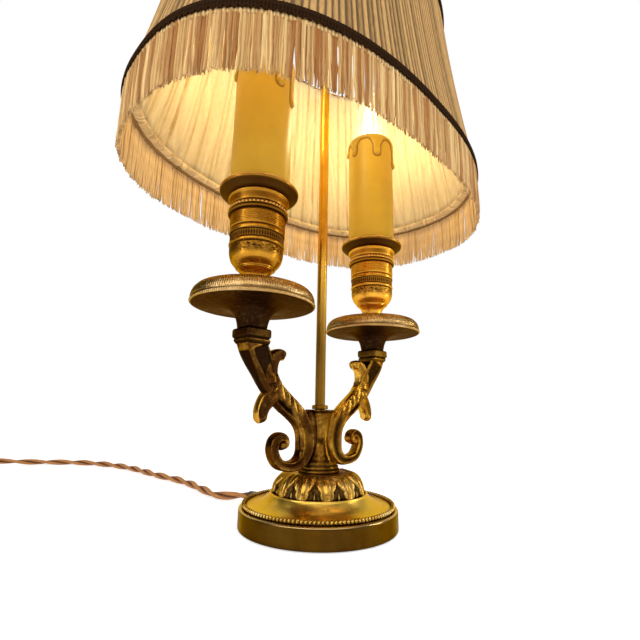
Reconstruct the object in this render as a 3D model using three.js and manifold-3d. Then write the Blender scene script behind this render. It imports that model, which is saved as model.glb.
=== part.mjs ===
// A two-light table lamp of the bouillotte kind: a turned brass base with a leaf dome,
// a waisted column, two scrolled arms with drip dishes and candle cups, and a rod that
// carries a pleated oval shade on a sliding collar.
// Millimetres, +Z up. The origin is the middle of the base's underside, the arms lie
// along X, and the cord leaves the back of the base along +Y.
import * as THREE from 'three';
import { mergeVertices, toCreasedNormals } from 'three/addons/utils/BufferGeometryUtils.js';
import Module from 'manifold-3d';

const wasm = await Module();
wasm.setup();

// Running clearance left between pieces that touch
const CLEAR = 0.3;

// Base: drum, bead row, hollow moulding and leaf dome
const FELT_THICKNESS = 1.2;
const DRUM_RADIUS = 53.7;
const DRUM_HEIGHT = 13.1;
const DRUM_WALL = 2.5;
const DRUM_FOOT_GAP = 0.4;
const BEAD_ROW_WIDTH = 2.4;
const BEAD_ROW_HEIGHT = 2.8;
const BEAD_ROW_INSET = 1.3;
const MOULDING_HEIGHT = 8.6;
const MOULDING_LIP_RADIUS = 34.1;
const MOULDING_LEDGE = 2.9;
const DOME_HEIGHT = 15.2;
const DOME_LEAVES = 12;
const DOME_WALL = 3.6;
const CORE_HOLE_RADIUS = 11;

// Column and rod
const COLUMN_HEIGHT = 41.6;
const COLUMN_FOOT_RADIUS = 14.6;
const COLUMN_WAIST_RADIUS = 5.9;
const COLUMN_TOP_RADIUS = 10.6;
const ROD_RADIUS = 3.6;
const ROD_TOP = 468;
const FOOT_NUT_RADIUS = 5.7;
const FOOT_NUT_HEIGHT = 2.9;

// Arms: the reach from the lamp's axis to a candle's axis, and the height of the block on top
const ARM_REACH = 62.8;
const ARM_WIDTH = 9.2;
const ARM_RISE = 90.7;
const BLOCK_SIZE = 18.6;
const BLOCK_THICKNESS = 5.4;

// What stands on each arm
const DISH_RADIUS = 39.6;
const DISH_STEM_HEIGHT = 13.6;
const DISH_RIM_HEIGHT = 11.4;
const DISH_STEM_RADIUS = 9.4;
const CUP_RADIUS = 18.3;
const CUP_HEIGHT = 66.1;
const CUP_WALL = 1.5;
const PLATE_RADIUS = 26.6;
const PLATE_HEIGHT = 6.4;
const SLEEVE_RADIUS = 20.3;
const SLEEVE_HEIGHT = 102;
const SLEEVE_WALL = 2;
const WAX_THICKNESS = 1.1;
const NIPPLE_RADIUS = 4;
const NIPPLE_BORE = 2.5;
const HOLDER_GAP = 1.9;
const HOLDER_RADIUS = SLEEVE_RADIUS - SLEEVE_WALL - HOLDER_GAP;
const HOLDER_HEIGHT = 50;
const HOLDER_WALL = 3;
const HOLDER_BORE = HOLDER_RADIUS - HOLDER_WALL;
const BULB_GAP = 0.9;
const BULB_RADIUS = SLEEVE_RADIUS - SLEEVE_WALL - BULB_GAP;
const BULB_LENGTH = 95;
const BULB_SUNK = 19;

// Shade: outer size of its lower rim, its height and the level of that rim
const SHADE_LENGTH = 299;
const SHADE_WIDTH = 201.6;
const SHADE_SQUARENESS = 2.42;
const SHADE_HEIGHT = 163.5;
const SHADE_RIM_LEVEL = 268.5;
const SHADE_TAPER = 0.00156;
const SHADE_FLARE = 0.000003;
const WALL_SAG = 0.95;
const COVER_THICKNESS = 1.3;
const LINING_INSET = 5.8;
const LINING_THICKNESS = 1;
const HEM_WIDTH = 2.4;
const WIRE_RADIUS = 1.5;
const RIB_COUNT = 8;
const BRAID_HEIGHT = 7.7;
const BRAID_THICKNESS = 1.9;
const FRINGE_LENGTH = 37;
const FRINGE_THICKNESS = 2.4;

// Collar that slides on the rod, and the finial on the rod's end
const COLLAR_RADIUS = 7.5;
const COLLAR_HEIGHT = 12;
const HUB_RADIUS = 10.5;
const HUB_THICKNESS = 2;
const SCREW_RADIUS = 2;
const SCREW_DROP = 5.5;
const FINIAL_HEIGHT = 32;
const FINIAL_BASE_BELOW_ROD_TOP = 8;

// Mains lead: diameter, switch and plug
const CORD_DIAMETER = 6.5;
const CORD_EXIT_LEVEL = 6.6;
const CONNECTOR_SIZE = [16, 11, 5.2];
const CONNECTOR_PLACE = 30;
const RELIEF_LENGTH = 23;
const COIL_TURNS = 5.25;
const COIL_MEAN_RADIUS = 36;
const COIL_PITCH = 7;
const COIL_LIFT = 1;
const COIL_CENTRE = [-208, 385];
const SWITCH_LENGTH = 56;
const SWITCH_WIDTH = 20;
const SWITCH_HEIGHT = 15;
const SWITCH_START = -124;
const SWITCH_SPLIT = 7.2;
const ROCKER_TILT = 7;
const ROCKER_PIVOT_RADIUS = 1;
const PLUG_LENGTH = 36;
const PLUG_WIDTH = 34;
const PLUG_THICKNESS = 13.6;
const PIN_RADIUS = 2;
const PIN_LENGTH = 19;
const PIN_SPACING = 18.6;

// Levels that follow from the sizes above
const drumTop = DRUM_HEIGHT;
const mouldingBase = drumTop + CLEAR;
const mouldingTop = mouldingBase + MOULDING_HEIGHT;
const domeSeat = mouldingTop - MOULDING_LEDGE;
const domeBase = domeSeat + CLEAR;
const domeTop = domeBase + DOME_HEIGHT;
const columnBase = domeTop + CLEAR;
const columnTop = columnBase + COLUMN_HEIGHT;
const armTop = columnBase + ARM_RISE;
const dishBase = armTop + CLEAR;
const dishFloor = dishBase + DISH_STEM_HEIGHT + DISH_RIM_HEIGHT - 3.4;
const cupBase = dishFloor + CLEAR;
const cupTop = cupBase + CUP_HEIGHT;
const plateBase = cupTop + CLEAR;
const plateFloor = plateBase + PLATE_HEIGHT - 1.6;
const sleeveBase = plateFloor + CLEAR;
const sleeveTop = sleeveBase + SLEEVE_HEIGHT;
const glassBase = sleeveTop - BULB_SUNK;
const holderTop = glassBase - CLEAR - 1.2;
const holderBase = holderTop - HOLDER_HEIGHT;
const rodBore = ROD_RADIUS + CLEAR;
const shadeTop = SHADE_RIM_LEVEL + SHADE_HEIGHT;
const hubBase = shadeTop - 1.5;
const collarTop = hubBase - CLEAR;
const collarBase = collarTop - COLLAR_HEIGHT;
const finialBase = ROD_TOP - FINIAL_BASE_BELOW_ROD_TOP;
const wireChannel = 1.8;
const leadWire = 1.2;
const wireStation = 8;

// Straight stretches that stand for a full circle
const baseSides = 32;
const columnSides = 18;
const dishSides = 20;
const cupSides = 16;
const smallSides = 16;
const sleeveSides = 24;
const ovalSides = 32;
const wireSteps = 24;

// Finishes
const finishes = {
  gilt: { color: '#a87a24', roughness: 0.32, metalness: 1 },
  polished: { color: '#c99a35', roughness: 0.2, metalness: 1 },
  steel: { color: '#8a8884', roughness: 0.4, metalness: 1 },
  iron: { color: '#2c2a28', roughness: 0.7, metalness: 0.6 },
  felt: { color: '#2f3a2a', roughness: 0.95, metalness: 0 },
  sleeve: { color: '#cf9a35', roughness: 0.5, metalness: 0 },
  ceramic: { color: '#e8e2d2', roughness: 0.35, metalness: 0 },
  glass: { color: '#fff6e0', roughness: 0.05, metalness: 0 },
  silk: { color: '#ead5a2', roughness: 0.75, metalness: 0 },
  braid: { color: '#2a2018', roughness: 0.85, metalness: 0 },
  cord: { color: '#b06a45', roughness: 0.7, metalness: 0 },
  bakelite: { color: '#2b1d14', roughness: 0.35, metalness: 0 },
  insulation: { color: '#d8c9a6', roughness: 0.6, metalness: 0 },
};

const lamp = new THREE.Group();

// Meshes and solids

function solid(geometry) {
  const bare = geometry.clone();
  bare.deleteAttribute('normal');
  bare.deleteAttribute('uv');
  const merged = mergeVertices(bare, 1e-3);
  return new wasm.Manifold(new wasm.Mesh({
    numProp: 3,
    vertProperties: new Float32Array(merged.attributes.position.array),
    triVerts: new Uint32Array(merged.index.array),
  }));
}

function geometryOf(body) {
  const mesh = body.getMesh();
  const geometry = new THREE.BufferGeometry();
  geometry.setAttribute('position', new THREE.BufferAttribute(mesh.vertProperties, 3));
  geometry.setIndex(new THREE.BufferAttribute(mesh.triVerts, 1));
  return toCreasedNormals(geometry, 0.6);
}

function add(name, finish, geometry, position = [0, 0, 0]) {
  const mesh = new THREE.Mesh(geometry, new THREE.MeshStandardMaterial(finishes[finish]));
  mesh.name = name;
  mesh.position.set(...position);
  lamp.add(mesh);
  return mesh;
}

// A turned piece: the profile lists [radius, height] going round anticlockwise
function turned(profile, segments) {
  const geometry = new THREE.LatheGeometry(profile.map(([r, z]) => new THREE.Vector2(r, z)), segments);
  geometry.rotateX(Math.PI / 2);
  return geometry;
}

function ring(profile, segments) {
  return turned([...profile, profile[0]], segments);
}

// A closed band: the section's points are placed round the band by place(point, angle)
function band(section, segments, place) {
  const positions = [];
  for (let i = 0; i < segments; i += 1) {
    const angle = (2 * Math.PI * i) / segments;
    section.forEach((point) => positions.push(...place(point, angle)));
  }
  const index = [];
  const count = section.length;
  for (let i = 0; i < segments; i += 1) {
    for (let j = 0; j < count; j += 1) {
      const a = i * count + j;
      const b = ((i + 1) % segments) * count + j;
      const c = ((i + 1) % segments) * count + ((j + 1) % count);
      const d = i * count + ((j + 1) % count);
      index.push(a, b, c, a, c, d);
    }
  }
  const geometry = new THREE.BufferGeometry();
  geometry.setAttribute('position', new THREE.Float32BufferAttribute(positions, 3));
  geometry.setIndex(index);
  geometry.computeVertexNormals();
  return geometry;
}

function polygon(radius, sides) {
  const points = [];
  for (let i = 0; i < sides; i += 1) {
    const angle = (2 * Math.PI * (i + 0.5)) / sides;
    points.push(new THREE.Vector2(radius * Math.cos(angle), radius * Math.sin(angle)));
  }
  return new THREE.Shape(points);
}

function tube(points, radius, sides, steps) {
  const path = new THREE.CatmullRomCurve3(points.map((p) => new THREE.Vector3(...p)), false, 'centripetal');
  return new THREE.ExtrudeGeometry(polygon(radius, sides), { steps, extrudePath: path, bevelEnabled: false });
}

function box(size, centre) {
  const geometry = new THREE.BoxGeometry(...size);
  geometry.translate(...centre);
  return geometry;
}

function rod(radius, from, to, sides) {
  const start = new THREE.Vector3(...from);
  const end = new THREE.Vector3(...to);
  const geometry = new THREE.CylinderGeometry(radius, radius, start.distanceTo(end), sides);
  const turn = new THREE.Quaternion().setFromUnitVectors(
    new THREE.Vector3(0, 1, 0),
    end.clone().sub(start).normalize(),
  );
  geometry.applyQuaternion(turn);
  geometry.translate((from[0] + to[0]) / 2, (from[1] + to[1]) / 2, (from[2] + to[2]) / 2);
  return geometry;
}

// Wire's way from the base up through the column's foot and the arm to the lampholder

function wirePath(side) {
  const route = [
    [2.6, 24, 6],
    [5, 16, 6],
    [wireStation - 0.4, 8, 6.8],
    [wireStation, 2.6, 10.5],
    [wireStation, 0.4, 15],
    [wireStation, 0, 21],
    [wireStation, 0, columnBase],
    [wireStation + 0.4, 0, columnBase + 5.7],
    [wireStation + 2.8, 0, columnBase + 11.2],
    [wireStation + 4.2, 0, columnBase + 16.7],
    [wireStation + 4.7, 0, columnBase + 23.2],
    [armX(15.2), 0, columnBase + 31.2],
    [armX(21), 0, columnBase + 39.2],
    [armX(30), 0, columnBase + 45.7],
    [armX(40), 0, columnBase + 50.7],
    [armX(47.5), 0, columnBase + 56.2],
    [armX(53), 0, columnBase + 63.2],
    [armX(58), 0, armTop - 19],
    [armX(61.6), 0, armTop - 11],
    [ARM_REACH, 0, armTop - 4],
    [ARM_REACH, 0, armTop + 4],
    [ARM_REACH, 0, holderBase - 1],
  ];
  return route.map(([x, y, z]) => [side * x, y, z]);
}

function wireCutter(side) {
  return solid(tube(wirePath(side), wireChannel, 6, wireSteps));
}

// The arms' outline points were laid out for this reach; the part beyond the column follows it
function armX(x) {
  const laidOutReach = 62.8;
  const fixed = 12;
  return x <= fixed ? x : fixed + ((x - fixed) * (ARM_REACH - fixed)) / (laidOutReach - fixed);
}

// Base

function buildBase() {
  const inner = DRUM_RADIUS - DRUM_WALL;
  const plateUnder = drumTop - DRUM_WALL;
  const drum = solid(ring([
    [DRUM_RADIUS, DRUM_FOOT_GAP],
    [DRUM_RADIUS, drumTop - 0.9],
    [DRUM_RADIUS - 0.8, drumTop],
    [CORE_HOLE_RADIUS, drumTop],
    [CORE_HOLE_RADIUS, plateUnder],
    [inner, plateUnder],
    [inner, DRUM_FOOT_GAP],
  ], baseSides));
  const reliefRadius = CORD_DIAMETER / 2 + 1.2;
  const cordHole = solid(rod(
    reliefRadius + CLEAR,
    [0, inner - 0.8, CORD_EXIT_LEVEL],
    [0, DRUM_RADIUS + 5, CORD_EXIT_LEVEL],
    12,
  ));
  add('base_drum', 'gilt', geometryOf(drum.subtract(cordHole)));

  const beadOuter = DRUM_RADIUS - BEAD_ROW_INSET;
  const beadInner = beadOuter - BEAD_ROW_WIDTH;
  const beadBase = drumTop + CLEAR;
  add('bead_ring', 'gilt', ring([
    [beadOuter, beadBase + BEAD_ROW_HEIGHT * 0.3],
    [(beadOuter + beadInner) / 2, beadBase + BEAD_ROW_HEIGHT],
    [beadInner, beadBase + BEAD_ROW_HEIGHT * 0.3],
    [(beadOuter + beadInner) / 2, beadBase],
  ], baseSides));

  const mouldingOuter = beadInner - CLEAR;
  const lip = MOULDING_LIP_RADIUS;
  add('base_moulding', 'polished', ring([
    [mouldingOuter, mouldingBase],
    [mouldingOuter, mouldingBase + 0.7],
    [lip + 9, mouldingBase + 2],
    [lip + 3.6, mouldingBase + 4.5],
    [lip + 0.8, mouldingTop - 0.8],
    [lip, mouldingTop],
    [lip - 0.9, mouldingTop - 0.3],
    [lip - 0.9, domeSeat],
    [lip - 9, domeSeat],
    [lip - 9, mouldingBase],
  ], baseSides));

  const domeRadius = lip - 1.6;
  const domeShape = [
    [domeRadius - 0.8, 0, 1],
    [domeRadius - 0.1, 3.4, 1],
    [domeRadius - 1.2, 7.8, 1],
    [domeRadius - 3.6, 11.2, 0.7],
    [domeRadius - 8.6, 14.4, 0.3],
    [COLUMN_FOOT_RADIUS + 0.6, DOME_HEIGHT, 0],
    [CORE_HOLE_RADIUS, DOME_HEIGHT, 0],
    [CORE_HOLE_RADIUS, DOME_HEIGHT - DOME_WALL, 0],
    [domeRadius - 8.5, DOME_HEIGHT - DOME_WALL - 3, 0],
    [domeRadius - 6.5, 0, 0],
  ];
  const grooveDepth = 2.2;
  const perLeaf = 4;
  add('leaf_dome', 'gilt', band(domeShape, DOME_LEAVES * perLeaf, ([r, z, relief], angle) => {
    const place = Math.abs(Math.sin((DOME_LEAVES * angle) / 2));
    const radius = r - grooveDepth * relief * place ** 6;
    return [radius * Math.cos(angle), radius * Math.sin(angle), domeBase + z];
  }));

  add('felt_pad', 'felt', ring([
    [DRUM_RADIUS - DRUM_WALL - 0.6, 0],
    [DRUM_RADIUS - DRUM_WALL - 0.6, FELT_THICKNESS],
    [9, FELT_THICKNESS],
    [9, 0],
  ], baseSides));
  const plateLow = FELT_THICKNESS + CLEAR;
  const plateHigh = plateLow + 1;
  add('bottom_plate', 'steel', ring([
    [inner - CLEAR, plateLow],
    [inner - CLEAR, plateHigh],
    [12, plateHigh],
    [12, plateLow],
  ], smallSides));

  const weight = solid(ring([
    [inner - 1.2, plateHigh + CLEAR],
    [inner - 1.2, plateUnder - CLEAR],
    [18, plateUnder - CLEAR],
    [18, plateHigh + CLEAR],
  ], baseSides));
  const slot = solid(box([25, inner, DRUM_HEIGHT * 2], [0, inner / 2 + 10, DRUM_HEIGHT]));
  add('base_weight', 'iron', geometryOf(weight.subtract(slot)));

  const washerTop = plateUnder - CLEAR;
  const washerBase = washerTop - 1.8;
  const washer = solid(ring([
    [15.5, washerBase],
    [15.5, washerTop],
    [rodBore, washerTop],
    [rodBore, washerBase],
  ], smallSides));
  const washerSlots = solid(box([6, 12, 8], [wireStation, 4, washerBase + 1]))
    .add(solid(box([6, 12, 8], [-wireStation, 4, washerBase + 1])));
  add('tie_washer', 'steel', geometryOf(washer.subtract(washerSlots)));

  const nut = new THREE.CylinderGeometry(5.9, 5.9, 4.2, 6);
  nut.rotateX(Math.PI / 2);
  nut.translate(0, 0, washerBase - CLEAR - 2.1);
  const nutBore = solid(rod(rodBore, [0, 0, -20], [0, 0, 40], smallSides));
  add('tie_nut', 'steel', geometryOf(solid(nut).subtract(nutBore)));

  add('connector_block', 'ceramic', box(
    CONNECTOR_SIZE,
    [0, CONNECTOR_PLACE, plateHigh + CLEAR + CONNECTOR_SIZE[2] / 2],
  ));
}

// Column, rod and the nut at the rod's foot

function columnProfile(gap) {
  const foot = COLUMN_FOOT_RADIUS;
  const waist = COLUMN_WAIST_RADIUS;
  const top = COLUMN_TOP_RADIUS;
  return [
    [foot, 0],
    [foot - 0.2, 1.9],
    [foot - 1.2, 2.4],
    [foot - 1.2, 4],
    [foot - 2.2, 4.6],
    [foot - 2.3, 6.6],
    [foot - 4.4, 10],
    [foot - 7, 14.8],
    [waist, 21.7],
    [waist + 0.5, 29.6],
    [waist + 1.6, 35.9],
    [top - 1.2, 40.4],
    [top, 40.9],
    [top, COLUMN_HEIGHT],
  ].map(([r, z]) => [r + gap, columnBase + z]);
}

function buildColumn() {
  const core = solid(ring([
    ...columnProfile(0),
    [rodBore, columnTop],
    [rodBore, columnBase],
  ], columnSides));
  add('column', 'gilt', geometryOf(core.subtract(wireCutter(1)).subtract(wireCutter(-1))));
  add('foot_nut', 'polished', ring([
    [FOOT_NUT_RADIUS, columnTop + CLEAR],
    [FOOT_NUT_RADIUS, columnTop + CLEAR + FOOT_NUT_HEIGHT - 0.5],
    [FOOT_NUT_RADIUS - 0.6, columnTop + CLEAR + FOOT_NUT_HEIGHT],
    [rodBore, columnTop + CLEAR + FOOT_NUT_HEIGHT],
    [rodBore, columnTop + CLEAR],
  ], smallSides));
  add('rod', 'polished', turned([
    [0, 2.4],
    [ROD_RADIUS, 2.4],
    [ROD_RADIUS, ROD_TOP - 0.6],
    [ROD_RADIUS - 0.6, ROD_TOP],
    [0, ROD_TOP],
  ], smallSides));
}

// Arms: each outline stretch runs smoothly between two corners, as [x, height over the column's foot]

const armOutline = [
  [[10, 10.2], [15.5, 5.6], [20.7, 3.4], [28, 2.4], [34, 2.9], [40, 5.9], [44.3, 11.1], [46, 17.1],
    [44.8, 22.4], [41, 26], [36, 27.1], [32.4, 25.6], [30.8, 21.6], [31.9, 17.1], [35, 14.7], [37.8, 13.1]],
  [[37.8, 13.1], [36.5, 11], [32.8, 9.4], [27.4, 8.7], [22.4, 9.5], [19.2, 12.6], [18, 17.1], [17.8, 23.1],
    [19.2, 28.4], [24.3, 32.8], [31.6, 37.6], [39.2, 41.8], [45.8, 42.8]],
  [[45.8, 42.8], [49.6, 39.6], [50.9, 35.2], [50.8, 32.4], [52.5, 31.1], [54.9, 32.8], [55.9, 37.2],
    [54.6, 43.2], [51.2, 47.5]],
  [[51.2, 47.5], [52.2, 52.8], [56.6, 59.8], [60.6, 66.6], [64.6, 72.8], [68.6, 77.8]],
  [[68.6, 77.8], [70.2, 86]],
  [[70.2, 86], [55.4, 86]],
  [[55.4, 86], [54.2, 79.6], [53.2, 75.9]],
  [[53.2, 75.9], [49.4, 78.2], [42.5, 80.2], [37.9, 80], [35, 77.8], [35.1, 75.2], [37, 73.6], [40, 72.8],
    [42.8, 70.2], [43.6, 66.6]],
  [[43.6, 66.6], [42, 60.6], [38, 56.8], [30, 52.6], [23.4, 48], [16.4, 42.6], [11.5, 41.2]],
  [[11.5, 41.2], [4, 39.2]],
  [[4, 39.2], [4, 13]],
  [[4, 13], [10, 10.2]],
];

function armShape() {
  const shape = new THREE.Shape();
  const start = armOutline[0][0];
  shape.moveTo(armX(start[0]), start[1]);
  armOutline.forEach((stretch) => {
    const points = stretch.slice(1).map(([x, z]) => new THREE.Vector2(armX(x), z));
    if (points.length < 3) {
      points.forEach((point) => shape.lineTo(point.x, point.y));
    } else {
      shape.splineThru(points);
    }
  });
  return shape;
}

function buildArm(side, name) {
  const strap = new THREE.ExtrudeGeometry(armShape(), { depth: ARM_WIDTH, bevelEnabled: false, curveSegments: 1 });
  strap.rotateX(Math.PI / 2);
  strap.translate(0, ARM_WIDTH / 2, columnBase);
  if (side < 0) {
    strap.rotateZ(Math.PI);
  }
  const neckHeight = 10.5;
  const neck = new THREE.CylinderGeometry(BLOCK_SIZE * 0.66, ARM_WIDTH * 0.72, neckHeight, 4, 1);
  neck.rotateY(Math.PI / 4);
  neck.rotateX(Math.PI / 2);
  neck.translate(side * ARM_REACH, 0, armTop - BLOCK_THICKNESS - neckHeight / 2 + 0.02);
  const block = box([BLOCK_SIZE, BLOCK_SIZE, BLOCK_THICKNESS], [side * ARM_REACH, 0, armTop - BLOCK_THICKNESS / 2]);
  const seat = solid(turned([[0, columnBase], ...columnProfile(CLEAR), [0, columnTop]], columnSides));
  const nippleBore = solid(rod(
    NIPPLE_RADIUS + CLEAR,
    [side * ARM_REACH, 0, armTop - 9],
    [side * ARM_REACH, 0, armTop + 9],
    12,
  ));
  const casting = solid(strap)
    .add(solid(neck))
    .add(solid(block))
    .subtract(seat)
    .subtract(wireCutter(side))
    .subtract(nippleBore);
  add(name, 'gilt', geometryOf(casting));
}

// What stands on an arm, from the nipple up to the bulb

function buildNipple(side, tag) {
  const low = armTop - 9 + CLEAR;
  const high = holderBase + 3.4;
  add(`${tag}_nipple`, 'steel', ring([
    [NIPPLE_RADIUS, low],
    [NIPPLE_RADIUS, high],
    [NIPPLE_BORE, high],
    [NIPPLE_BORE, low],
  ], 12), [side * ARM_REACH, 0, 0]);
}

function buildDish(side, tag) {
  const bore = NIPPLE_RADIUS + CLEAR;
  const stem = DISH_STEM_RADIUS;
  const rim = dishBase + DISH_STEM_HEIGHT;
  const edge = DISH_RADIUS;
  add(`${tag}_drip_dish`, 'gilt', ring([
    [stem, dishBase],
    [stem + 1.2, dishBase + 5.6],
    [stem + 4.2, dishBase + 10.2],
    [stem + 10, rim - 0.6],
    [edge - 1.4, rim + 0.2],
    [edge, rim + 1.8],
    [edge - 1.2, rim + 7],
    [edge - 5, rim + 10.8],
    [edge - 8, rim + DISH_RIM_HEIGHT],
    [edge - 13, dishFloor + 0.8],
    [edge - 19, dishFloor],
    [bore, dishFloor],
    [bore, dishBase],
  ], dishSides), [side * ARM_REACH, 0, 0]);
}

function buildCup(side, tag) {
  const bore = NIPPLE_RADIUS + CLEAR;
  const r = CUP_RADIUS;
  const well = r - CUP_WALL;
  const shoulder = cupBase + CUP_HEIGHT - 35;
  add(`${tag}_candle_cup`, 'polished', ring([
    [r - 8.4, cupBase],
    [r - 9.6, cupBase + 5.6],
    [r - 10.1, cupBase + 10.5],
    [r - 5.6, cupBase + 17.4],
    [r - 2.1, cupBase + 22],
    [r - 0.6, cupBase + 28],
    [r, shoulder + 1.2],
    [r - 0.8, shoulder + 3.4],
    [r - 0.8, shoulder + 8],
    [r, shoulder + 9],
    [r - 0.1, shoulder + 22],
    [r + 1.9, shoulder + 23.6],
    [r + 0.5, shoulder + 27],
    [r + 2.2, cupTop - 1.2],
    [r + 2.2, cupTop],
    [well, cupTop],
    [well, cupBase + 28],
    [well - 6, cupBase + 23.6],
    [bore, cupBase + 23.6],
    [bore, cupBase],
  ], cupSides), [side * ARM_REACH, 0, 0]);
}

function buildPlate(side, tag) {
  const well = CUP_RADIUS - CUP_WALL;
  const edge = PLATE_RADIUS;
  add(`${tag}_drip_plate`, 'polished', ring([
    [CUP_RADIUS + 2, plateBase],
    [edge - 5, plateBase + 0.7],
    [edge - 2, plateBase + 3.3],
    [edge, plateBase + 4.8],
    [edge - 0.6, plateBase + PLATE_HEIGHT],
    [edge - 3.2, plateFloor],
    [well, plateFloor],
    [well, plateBase],
  ], dishSides), [side * ARM_REACH, 0, 0]);
}

// The wax edge hangs lower at each drip: [direction in degrees, drop, half width in degrees]
const waxDrips = {
  right: [[153, 15, 13], [182, 21, 14], [238, 24, 15], [303, 30, 14], [12, 17, 15], [72, 26, 14], [112, 12, 11]],
  left: [[150, 17, 14], [200, 13, 13], [263, 29, 13], [301, 37, 13], [345, 15, 12], [35, 27, 14], [92, 19, 15]],
};
const waxEdge = 8;

function waxLevel(drips, angle) {
  const degrees = THREE.MathUtils.radToDeg(angle);
  let drop = waxEdge;
  drips.forEach(([direction, depth, halfWidth]) => {
    const apart = Math.abs(((degrees - direction + 540) % 360) - 180);
    if (apart < halfWidth) {
      const rise = 0.5 + 0.5 * Math.cos((Math.PI * apart) / halfWidth);
      drop = Math.max(drop, waxEdge + (depth - waxEdge) * rise);
    }
  });
  return sleeveTop - drop;
}

function buildSleeve(side, tag) {
  const outer = SLEEVE_RADIUS;
  const inner = outer - SLEEVE_WALL;
  const wax = outer + WAX_THICKNESS;
  const section = [
    [outer, () => sleeveBase],
    [outer, (edge) => edge - 0.9],
    [wax, (edge) => edge],
    [wax, () => sleeveTop - 4],
    [outer - 0.9, () => sleeveTop],
    [inner, () => sleeveTop - 0.6],
    [inner, () => sleeveBase],
  ];
  add(`${tag}_candle_sleeve`, 'sleeve', band(section, sleeveSides, ([r, level], angle) => [
    r * Math.cos(angle),
    r * Math.sin(angle),
    level(waxLevel(waxDrips[tag], angle)),
  ]), [side * ARM_REACH, 0, 0]);
}

function buildHolderAndBulb(side, tag) {
  const place = [side * ARM_REACH, 0, 0];
  const bore = NIPPLE_RADIUS + CLEAR;
  const floor = holderBase + 10;
  add(`${tag}_lampholder`, 'ceramic', ring([
    [9, holderBase],
    [9, holderBase + 6],
    [HOLDER_RADIUS, holderBase + 8],
    [HOLDER_RADIUS, holderTop],
    [HOLDER_BORE, holderTop],
    [HOLDER_BORE, floor],
    [bore, floor],
    [bore, holderBase],
  ], smallSides), place);
  const cap = HOLDER_BORE - CLEAR;
  const capTop = glassBase - CLEAR;
  add(`${tag}_bulb_cap`, 'polished', turned([
    [0, floor + CLEAR],
    [3.5, floor + CLEAR],
    [5, floor + 5],
    [cap, floor + 8],
    [cap, capTop],
    [0, capTop],
  ], smallSides), place);
  const glassWall = 0.9;
  const outline = [
    [0.73, 0], [0.88, 0.1], [0.99, 0.2], [0.99, 0.36], [0.87, 0.53], [0.57, 0.71], [0.26, 0.87],
  ];
  const outside = outline.map(([r, z]) => [r * BULB_RADIUS, glassBase + z * BULB_LENGTH]);
  const inside = outside.map(([r, z]) => [r - glassWall, z]).reverse();
  add(`${tag}_bulb_glass`, 'glass', turned([
    [0, glassBase + BULB_LENGTH * 0.94],
    ...inside,
    ...outside,
    [0, glassBase + BULB_LENGTH],
  ], smallSides), place);
}

function buildWire(side, tag) {
  add(`${tag}_wire`, 'insulation', tube(wirePath(side), leadWire, 5, wireSteps));
}

// Shade

function shadeScale(z) {
  const rise = z - SHADE_RIM_LEVEL;
  return rise <= 0 ? 1 : 1 - SHADE_TAPER * rise + SHADE_FLARE * rise * rise;
}

// A point on the shade's outline, moved outwards by offset, at height z
function ovalPoint(offset, z, angle) {
  const power = 2 / SHADE_SQUARENESS;
  const c = Math.cos(angle);
  const s = Math.sin(angle);
  const x = (SHADE_LENGTH / 2) * shadeScale(z) + offset;
  const y = (SHADE_WIDTH / 2) * shadeScale(z) + offset;
  return [
    x * Math.sign(c) * Math.abs(c) ** power,
    y * Math.sign(s) * Math.abs(s) ** power,
    z,
  ];
}

function ovalBand(section) {
  return band(section, ovalSides, ([offset, z], angle) => ovalPoint(offset, z, angle));
}

function wallSection(outerOffset, thickness, levels) {
  return [
    ...levels.map((z) => [outerOffset, z]),
    ...levels.map((z) => [outerOffset - thickness, z]).reverse(),
  ];
}

// The levels above low, up to high, that keep a straight wall within WALL_SAG of the shade's curve
function wallLevels(low, high) {
  const longest = 2 * Math.sqrt(WALL_SAG / (SHADE_FLARE * (SHADE_LENGTH / 2)));
  const parts = Math.ceil((high - low) / longest);
  return Array.from({ length: parts }, (_, i) => low + ((high - low) * (i + 1)) / parts);
}

function buildShade() {
  const rim = SHADE_RIM_LEVEL;
  const middle = rim + SHADE_HEIGHT * 0.45;
  const top = shadeTop;
  const levels = [rim, ...wallLevels(rim, middle), ...wallLevels(middle, top)];
  add('shade_cover', 'silk', ovalBand(wallSection(0, COVER_THICKNESS, levels)));

  // The lining stands inside the wires, and its hem turns out under the lower one
  const face = -LINING_INSET;
  const back = face - LINING_THICKNESS;
  const liningTop = top - 4;
  add('shade_lining', 'silk', ovalBand([
    [-COVER_THICKNESS - 0.6, rim - 0.4],
    [-COVER_THICKNESS - 0.6, rim + 0.5],
    [face, rim + 0.5],
    [face, middle],
    [face, liningTop],
    [back, liningTop],
    [back, middle],
    [back, rim + 4.5],
    [face - HEM_WIDTH, rim + 2],
    [back, rim - 0.4],
  ]));

  const braidBase = rim - 0.8;
  const braid = (low) => ovalBand(wallSection(CLEAR + BRAID_THICKNESS, BRAID_THICKNESS, [low, low + BRAID_HEIGHT]));
  add('lower_braid', 'braid', braid(braidBase));
  add('upper_braid', 'braid', braid(top - BRAID_HEIGHT + 0.8));
  const fringeTop = braidBase - CLEAR;
  add('fringe', 'silk', ovalBand(wallSection(0.8, FRINGE_THICKNESS, [fringeTop - FRINGE_LENGTH, fringeTop])));
  buildShadeFrame(rim + 2.2, top - 1.8);
}

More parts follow.
